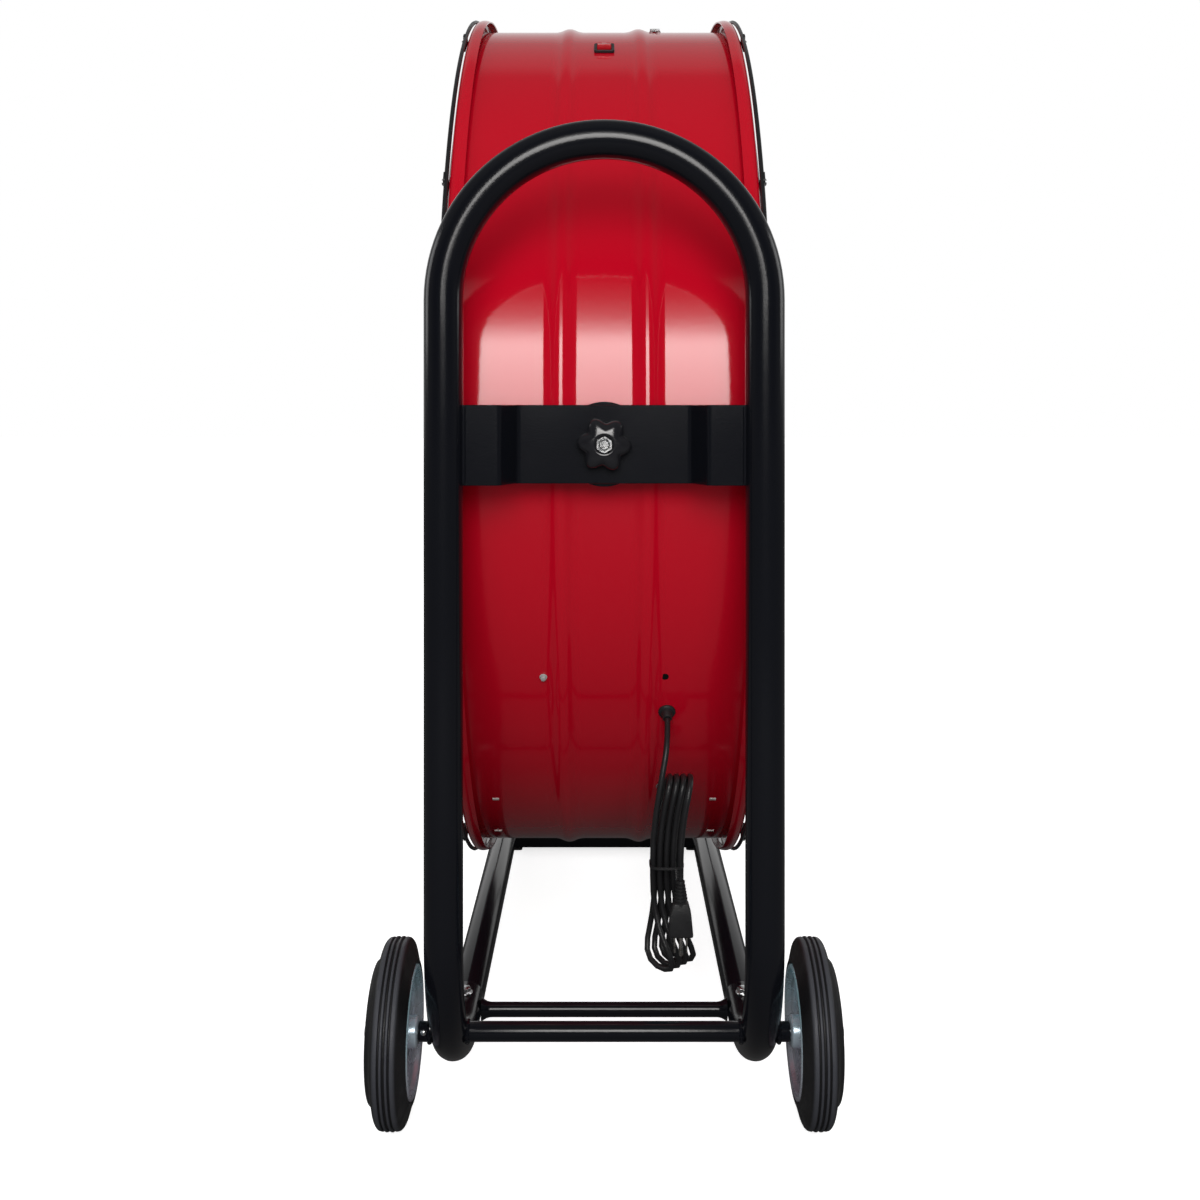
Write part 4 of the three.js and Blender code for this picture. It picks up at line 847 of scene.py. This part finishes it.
# Painted shade: a thin black disc lies on the paint at the right-hand bolt hole below the near
# pivot. It stands for the dark inside the open hole, and the shell is not cut.
shade_black = new_finish(
    "painted_hole_shade", (0.004, 0.004, 0.004), (0.85, 0.95, 90), specular=0.1)
lathed("bolt_hole_painted_shade", [(0, -0.0012), (0.0040, -0.0012), (0.0040, 0.00008), (0, 0.00008)], 28,
       shade_black, "drum", "black_plastic", at=on_drum(117, 0.065, 0.553))

# ---- Shell bolts and painted glints -------------------------------------------------------------
# Three plated bolts hold the arms of the motor bracket, and a fourth in grey stands below the
# pivot. Small pale patches low on the near side, next to the rims, are painted highlights for
# glints.
grey_steel = new_finish(
    "dull_grey_steel", (0.42, 0.43, 0.43), (0.34, 0.52, 180), metallic=0.3)
tree, shader = inner(grey_steel)
mottled(tree, shader, "Base Color", (0.36, 0.37, 0.37), (0.50, 0.50, 0.49), 160)
shell_bolts = [
    ("bracket_bolt_1", 16, 0.067, 0.022, bright_zinc, 0.0068),
    ("bracket_bolt_2", 136, 0.067, 0.022, bright_zinc, 0.0068),
    ("bracket_bolt_3", 256, 0.067, 0.022, bright_zinc, 0.0068),
    ("shell_bolt", 117, -0.065, 0.010, grey_steel, 0.0030),
]
for name, angle, axial, shank, finish, head in shell_bolts:
    shape = bmesh.new()
    disc(shape, [(0, 0), (head + 0.0009, 0), (head + 0.0012, 0.0004), (head + 0.0008, 0.0010),
                 (0, 0.0010)])
    hexagon(shape, Vector((0, 0, 0.0009)), (0, 0, 1), head, 0.0036, 0.3)
    disc(shape, [(0, 0), (0.0030, 0), (0.0036, 0.0008), (0.0036, shank), (0, shank)], 24,
         Vector((0, 0, -shank)))
    finished(f"{name}_hexagon", shape, finish, "drum", "zinc", name,
             at=on_drum(angle, axial, drum_surface))

# Painted highlights: four thin pale patches on the paint, low on the near side next to the rims,
# stand for the glints there.
painted_glint_finish = new_finish("pale_painted_glint", (0.62, 0.61, 0.58), (0.40, 0.52, 150), metallic=0.1)
shape = bmesh.new()
for angle, axial, length in ((139.4, 0.1265, 0.0075), (152, 0.1315, 0.0090)):
    for end in (-1, 1):
        box(shape, (0, 0, 0), (length, 0.0040, 0.0012), on_drum(angle, end * axial, 0.5532))
finished("rim_painted_glints", shape, painted_glint_finish, "drum", "zinc", sharp=20)

# ---- Pivots -------------------------------------------------------------------------------------
# At each side a black pressed boss with a round friction disc stands on the drum. Its bolt passes
# through the bracket, a washer and the star knob.
for side, angle, name in ((-1, 90, "near"), (1, 270, "far")):
    lathed(f"{name}_pressed_boss", [
        (0.0054, 0.5535), (0.0290, 0.5535), (0.0282, 0.5555), (0.0270, 0.5600), (0.0270, 0.5845),
                                    (0.0300, 0.5873),
        (0.0416, 0.5873), (0.0423, 0.5882), (0.0423, 0.5910), (0.0416, 0.5917), (0.0054, 0.5917)],
           72,
           powder_coat, "drum", "frame_paint", f"{name}_pivot_boss", at=on_drum(angle, 0, 0))

    lathed(f"{name}_flat_washer", [
        (0.0053, 0.5963), (0.0127, 0.5963), (0.0130, 0.5967), (0.0130, 0.5979), (0.0127, 0.5983),
                                   (0.0053, 0.5983)], 48,
           bright_zinc, "drum", "zinc", f"{name}_pivot_washer", at=on_drum(angle, 0, 0))

    lathed(f"{name}_carriage_bolt", [
        (0, 0.5454), (0.0080, 0.5456), (0.0118, 0.5468), (0.0130, 0.5484), (0.0130, 0.5499),
                                     (0.0050, 0.5499),
        (0.0050, 0.6208), (0.0042, 0.6216), (0, 0.6216)], 40,
           bright_zinc, "drum", "zinc", f"{name}_pivot_bolt", at=on_drum(angle, 0, 0))

# ---- Knobs --------------------------------------------------------------------------------------
# Six-lobed star knobs of glossy black phenolic, each with a hexagon insert nut in its face.
knob_gloss = new_finish(
    "knob_phenolic", (0.010, 0.010, 0.012), (0.12, 0.22, 60), (0.05, 500), specular=0.55)
for side, angle, name in ((-1, 90, "near"), (1, 270, "far")):
    shape = bmesh.new()
    disc(shape, [
        (0.0054, 0), (0.0225, 0), (0.0250, 0.0006), (0.0266, 0.0022), (0.0270, 0.0040),
                 (0.0270, 0.0120),
        (0.0262, 0.0142), (0.0245, 0.0160), (0.0218, 0.0174), (0.0185, 0.0186), (0.0150, 0.0194),
                 (0.0115, 0.0199),
        (0.0096, 0.0200), (0.0090, 0.0196), (0.0090, 0.0148), (0.0054, 0.0148)], 144)
    for vert in shape.verts:
        reach = sqrt(vert.co.x ** 2 + vert.co.y ** 2)
        turn = 6 * (atan2(vert.co.y, vert.co.x) - side * radians(5))
        lobe = (0.0205 + 0.0065 * (0.5 + 0.5 * cos(turn)) ** 0.8) / 0.027
        drawn_in = 1 + (lobe - 1) * smoothstep(reach, 0.011, 0.0225)
        vert.co.x *= drawn_in
        vert.co.y *= drawn_in
    finished(f"{name}_star_knob", shape, knob_gloss, f"{name}_knob", "knob_plastic", f"{name}_knob",
             sharp=40, at=on_drum(angle, 0, 0.5986))

    shape = bmesh.new()
    disc(shape, [
        (0.0054, 0), (0.0084, 0), (0.0084, 0.0052), (0.0079, 0.0060), (0.0058, 0.0060),
                 (0.0054, 0.0056)], 48)
    for vert in shape.verts:
        reach = sqrt(vert.co.x ** 2 + vert.co.y ** 2)
        if reach > 0.007:
            turn = (atan2(vert.co.y, vert.co.x) + pi / 6) % (pi / 3) - pi / 6
            flat = min(1, 0.0084 * cos(pi / 6) / cos(turn) / reach)
            vert.co.x *= flat
            vert.co.y *= flat
    finished(f"{name}_insert_nut", shape, bright_zinc, f"{name}_knob", "zinc", f"{name}_knob_nut",
             at=on_drum(angle, 0, 0.6136))

# ---- Guards -------------------------------------------------------------------------------------
# Welded wire grilles over both ends: an outer ring, rings at an even pitch, twelve radial wires, a
# plate over the hub, and twelve tabs that are screwed to the rim.
guard_black = new_finish("guard_coating", (0.010, 0.010, 0.011), (0.28, 0.44, 30))


def hoop(shape, radius, wire, plane, steps, sides=8):
    """A ring of round wire about the X axis."""
    loops = []
    for i in range(steps):
        turn = 2 * pi * i / steps
        reaches = [(plane + wire / 2 * sin(2 * pi * k / sides),
                    radius + wire / 2 * cos(2 * pi * k / sides))
                   for k in range(sides)]
        loops.append([shape.verts.new((x, -reach * sin(turn), reach * cos(turn))) for x,
                      reach in reaches])
    for a, b in zip(loops, loops[1:] + loops[:1]):
        for k in range(sides):
            shape.faces.new((a[k], a[k - 1], b[k - 1], b[k]))


for side, name in ((-1, "intake_guard"), (1, "outlet_guard")):
    shape = bmesh.new()
    hoop(shape, 0.566, 0.005, side * 0.1688, 192)
    for i in range(18):
        hoop(shape, 0.095 + 0.025 * i, 0.003, side * 0.1715, 144)
    for k in range(12):
        turn = Matrix.Rotation(k * pi / 6, 4, "X")
        bmesh.ops.create_cone(shape, cap_ends=True, segments=10, radius1=0.002, radius2=0.002,
                              depth=0.510,
                              matrix=turn @ Matrix.Translation((side * 0.1688, 0, 0.311)))
        tab = box(shape, (side * 0.17105, 0, 0.5585), (0.002, 0.014, 0.020), turn)
        rims = [e for e in {e for v in tab for e in v.link_edges}
                if abs(e.verts[0].co.x - e.verts[1].co.x) > 0.001]
        rounded(shape, rims, 0.003, 4)
    disc(shape, [(0, 0), (0.0645, 0), (0.066, 0.0008), (0.0655, 0.0020), (0.0600, 0.0016),
                 (0, 0.0020)], 96, Vector((side * 0.170, 0, 0)), (side, 0, 0))
    finished(f"{name}_wires", shape, guard_black, "drum", "guard_wire", name, at=drum_place)

    shape = bmesh.new()
    for k in range(12):
        seat = on_drum(30 * k, side * 0.17205, 0.5575).translation
        disc(shape, [(0, 0), (0.0044, 0), (0.0042, 0.0012), (0.0030, 0.0024), (0, 0.0028)], 20,
             seat, (side, 0, 0))
    finished(f"{name}_screws", shape, bright_zinc, "drum", "zinc")

# ---- Motor bracket ------------------------------------------------------------------------------
# Three arms of bent plate reach in from the shell to a ring that the motor is bolted to.
shape = bmesh.new()
for angle in (16, 136, 256):
    before = set(shape.verts)
    walled(shape, sheet_loop([(0.0545, 0.064), (0.0545, 0.5484), (0.082, 0.5484)], 0.005),
           (0, 0.006, 0, 0, 0.006, 0), 0.042)
    arm = [v for v in shape.verts if v not in before]
    stand_up = Matrix(((1, 0, 0, 0), (0, 0, -1, 0.021), (0, 1, 0, 0), (0, 0, 0, 1)))
    bmesh.ops.transform(shape, matrix=on_drum(angle, 0, 0) @ stand_up, verts=arm)
eased(shape, 0.0008)
disc(shape, [(0.030, 0), (0.0732, 0), (0.074, 0.0008), (0.074, 0.0042), (0.0732, 0.005),
             (0.030, 0.005)], 72, Vector((0.0520, drum_middle, drum_axis)), (1, 0, 0))
finished("bent_motor_bracket", shape, powder_coat, "drum", "frame_paint", "motor_bracket", sharp=20)
shape = bmesh.new()
for k in range(4):
    seat = on_drum(45 + 90 * k, 0.0570, 0.056).translation
    hexagon(shape, seat, (1, 0, 0), 0.0068, 0.0044, 0.2 + k)
finished("motor_bracket_screws", shape, bright_zinc, "drum", "zinc")

# ---- Motor --------------------------------------------------------------------------------------
# A rolled barrel with two swaged grooves between pressed end caps, four tie bolts, and the
# connection box that the mains cord ends in.
motor_paint = new_finish("motor_enamel", (0.020, 0.021, 0.023), (0.28, 0.44, 24), (0.12, 420))
motor_parts = {
    "motor_housing": [(0, -0.0420), (0.0832, -0.0420), (0.084, -0.0412), (0.084, -0.0330),
                      (0.081, -0.0280),
                      (0.084, -0.0230), (0.084, 0.0084), (0.081, 0.0134), (0.084, 0.0184),
                      (0.084, 0.0266),
                      (0.0832, 0.0274), (0, 0.0274)],
    "motor_front_cap": [(0.0106, -0.0663), (0.0250, -0.0663), (0.0262, -0.0655), (0.0290, -0.0583),
                        (0.0340, -0.0574),
                        (0.0690, -0.0563), (0.0760, -0.0550), (0.0835, -0.0508), (0.0857, -0.0480),
                        (0.086, -0.0460),
                        (0.086, -0.0430), (0.0850, -0.0423), (0.0106, -0.0423)],
    "motor_rear_cap": [(0, 0.0277), (0.0850, 0.0277), (0.086, 0.0284), (0.086, 0.0420),
                       (0.0850, 0.0450),
                       (0.0800, 0.0498), (0.0740, 0.0515), (0, 0.0517)],
}
for name, profile in motor_parts.items():
    lathed(f"{name}_enamelled", profile, 96, motor_paint, "drum", "motor_paint", name,
           axis=(1, 0, 0), sharp=40, at=drum_place)
shape = bmesh.new()
for k in range(4):
    hexagon(shape, on_drum(45 + 90 * k, -0.0562, 0.066).translation, (-1, 0, 0), 0.0055, 0.0040,
            0.4 * k)
finished("motor_tie_nuts", shape, bright_zinc, "drum", "zinc")

shape = bmesh.new()
box(shape, (-0.0073, 0, 0.1033), (0.064, 0.056, 0.038))
eased(shape, 0.0035, segments=4)
box(shape, (-0.0073, 0, 0.1233), (0.0635, 0.0555, 0.0018))
for x in (-0.031, 0.0164):
    disc(shape, [(0, 0), (0.0036, 0), (0.0030, 0.0014), (0, 0.0018)], 20, Vector((x, 0, 0.1240)))
finished("connection_box", shape, motor_paint, "drum", "motor_paint", "junction_box", sharp=20,
         at=on_drum(gland_degrees, 0, 0))

# ---- Fan ----------------------------------------------------------------------------------------
# Shaft, turned hub with a riveted three-armed spider, and three pitched and cambered blades of
# mill-finish aluminium sheet.
mill_alloy = new_finish(
    "mill_aluminium", (0.62, 0.63, 0.64), (0.30, 0.46, 14, 8), (0.06, 300), metallic=1.0)
shape = bmesh.new()
disc(shape, [(0, -0.132), (0.0087, -0.132), (0.0095, -0.1312), (0.0095, -0.0426), (0, -0.0426)],
     axis=(1, 0, 0))
finished("ground_shaft", shape, bright_zinc, "fan", "zinc", "motor_shaft", at=drum_place)

fan_plane, root, tip = -0.098, 0.118, 0.528


def blade_point(u, w, lift):
    """A point of a blade: u from root to tip, w across the chord, lift off its middle surface."""
    reach = root + (tip - root) * u
    chord = (0.190 + 0.060 * u) * (1 - 0.32 * max(0, (u - 0.8) / 0.2) ** 2 * (0.5 + w))
    pitch = radians(34 - 15 * u)
    rise = 0.016 * (0.5 - 4 * w * w) + lift
    across = w * chord * cos(pitch) - rise * sin(pitch)
    along = w * chord * sin(pitch) + rise * cos(pitch)
    return Vector((fan_plane + along, across, sqrt(reach * reach - across * across)))


for k in range(3):
    turn = drum_place @ Matrix.Rotation(k * 2 * pi / 3, 4, "X")
    shape = bmesh.new()
    for lift in (-0.0011, 0.0011):
        grid = bmesh.ops.create_grid(shape, x_segments=28, y_segments=18, size=0.5)["verts"]
        for vert in grid:
            vert.co = turn @ blade_point(vert.co.x + 0.5, vert.co.y, lift)
    bmesh.ops.bridge_loops(shape, edges=[e for e in shape.edges if len(e.link_faces) == 1])
    finished(f"fan_blade_{k + 1}_pressed", shape, mill_alloy, "fan", "blade_alloy",
             f"fan_blade_{k + 1}", sharp=50)

shape = bmesh.new()
disc(shape, [(r, fan_plane + x) for r, x in (
    (0.0106, -0.024), (0.0298, -0.024), (0.0306, -0.0232), (0.0306, -0.005), (0.0452, -0.005),
    (0.046, -0.0042), (0.046, 0.0042), (0.0452, 0.005), (0.0340, 0.0150), (0.0306, 0.020),
    (0.0106, 0.020))], 64, axis=(1, 0, 0))
for k in range(3):
    turn = Matrix.Rotation(k * 2 * pi / 3, 4, "X")
    stations = [(0.036, 0.034), (0.060, 0.0318), (0.085, 0.029), (0.118, 0.026), (0.150, 0.022),
                (0.172, 0.0185), (0.176, 0.015)]
    before = set(shape.verts)
    rows = []
    for reach, half in stations:
        blend_in = smoothstep(reach, 0.040, 0.112)
        pitch = radians(34 * 0.86) * blend_in
        drop = -(0.008 + 0.0025 + 0.0022) * blend_in
        for lift in (-0.0022, 0.0022):
            rows.append([shape.verts.new(turn @ Vector((
                fan_plane + y * sin(pitch) + (drop + lift) * cos(pitch),
                y * cos(pitch) - (drop + lift) * sin(pitch), reach)))
                         for y in (-half, -half / 2, 0, half / 2, half)])
    for a, b in zip(rows[0::2], rows[2::2]):
        for i in range(4):
            shape.faces.new((a[i], a[i + 1], b[i + 1], b[i]))
    for a, b in zip(rows[1::2], rows[3::2]):
        for i in range(4):
            shape.faces.new((a[i], b[i], b[i + 1], a[i + 1]))
    open_edges = [e for v in shape.verts if v not in before for e in v.link_edges
                  if len(e.link_faces) == 1]
    bmesh.ops.bridge_loops(shape, edges=list(set(open_edges)))
    for reach, y in ((0.134, -0.015), (0.134, 0.015), (0.162, -0.010), (0.162, 0.010)):
        pitch = radians(34 * 0.86)
        place = turn @ Vector((fan_plane + y * sin(pitch) - 0.0149 * cos(pitch),
                               y * cos(pitch) + 0.0149 * sin(pitch), reach))
        disc(shape, [(0, 0), (0.0045, 0), (0.0038, 0.0014), (0, 0.0022)], 20, place,
             turn @ Vector((-cos(pitch), sin(pitch), 0)))
finished("fan_hub_and_spider", shape, mill_alloy, "fan", "blade_alloy", "fan_hub", sharp=40,
         at=drum_place)

# ---- Switch -------------------------------------------------------------------------------------
# A snap-in rocker switch on top of the drum, in a plain black bezel, with moulded marks for off
# and on. Its rocker tips about a pin below the bezel's lip.
switch_place = on_drum(31, 0, drum_surface)
shape = bmesh.new()
bezel_outer = [Vector((x, y)) for x,
               y in ((-0.01225, -0.01525), (0.01225, -0.01525), (0.01225, 0.01525),
                     (-0.01225, 0.01525))]
walled(shape, bezel_outer, (0.002,) * 4, 0.0034)
lid = max(shape.faces, key=lambda f: f.calc_center_median().z)
bmesh.ops.inset_region(shape, faces=[lid], thickness=0.0034)
for vert in lid.verts:
    vert.co.x = max(-0.0088, min(0.0088, vert.co.x))
    vert.co.y = max(-0.0123, min(0.0123, vert.co.y))
grown = bmesh.ops.extrude_face_region(shape, geom=[lid])["geom"]
bmesh.ops.delete(shape, geom=[lid], context="FACES")
bmesh.ops.translate(shape, verts=moved(grown), vec=(0, 0, -0.0114))
eased(shape, 0.0007)
box(shape, (0, 0, -0.0088), (0.0212, 0.0272, 0.0172))
finished("switch_surround", shape, matt_black, "drum", "black_plastic", "switch_bezel", sharp=20,
         at=switch_place)

rocker_red = new_finish(
    "rocker_red_plastic", (0.38, 0.004, 0.010), (0.16, 0.28, 120), specular=0.6)
shape = bmesh.new()
rocker_side = [(-0.0110, 0.0046), (-0.0113, 0), (-0.0096, -0.0056), (-0.0055, -0.0098),
               (0.0055, -0.0098),
               (0.0096, -0.0056), (0.0113, 0), (0.0110, 0.0046), (0, 0.0022)]
walled(shape, [Vector(point) for point in rocker_side],
       (0.0008, 0.001, 0.002, 0.002, 0.002, 0.002, 0.001, 0.0008, 0.009),
       0.0170, segments=4)
eased(shape, 0.0006)
upright = Matrix(((0, 0, 1, -0.0085), (1, 0, 0, 0), (0, 1, 0, 0), (0, 0, 0, 1)))
tipped = Matrix.Translation((0, 0, 0.0032)) @ Matrix.Rotation(radians(-10), 4, "X")
finished("switch_rocker_moulded", shape, rocker_red, "rocker", "rocker_plastic", "switch_rocker",
         sharp=20, at=switch_place @ tipped @ upright)

mark_white = new_finish("mark_white", (0.62, 0.56, 0.54), (0.45, 0.6, 200))
shape = bmesh.new()
bar = Matrix.Translation((-0.0002, 0.0068, 0.00375)) @ Matrix.Rotation(radians(13), 4, "X")
box(shape, (0, 0, 0), (0.0055, 0.0011, 0.0002), bar)
ring = Matrix.Translation((-0.0002, -0.0068, 0.00375)) @ Matrix.Rotation(radians(-13), 4, "X")
disc(shape, [(0.0016, -0.0001), (0.0026, -0.0001), (0.0026, 0.0001), (0.0016, 0.0001)], 28,
     ring.translation, ring.to_3x3() @ Vector((0, 0, 1)))
finished("switch_marks", shape, mark_white, "rocker", "rocker_plastic", at=switch_place @ tipped)

# ---- Cord gland ---------------------------------------------------------------------------------
# The cord leaves the drum through a round black strain relief: a low ring and a narrow sleeve.
lathed("strain_relief", [
    (0.0034, -0.0140), (0.0070, -0.0140), (0.0074, -0.0136), (0.0074, 0), (0.0094, 0),
                         (0.0094, 0.0016), (0.0088, 0.0026),
    (0.0064, 0.0034), (0.0056, 0.0060), (0.0050, 0.0112), (0.0046, 0.0119), (0.0034, 0.0120)], 48,
       matt_black, "drum", "black_plastic", "cord_gland", sharp=45,
       at=on_drum(gland_degrees, gland_axial, drum_surface))
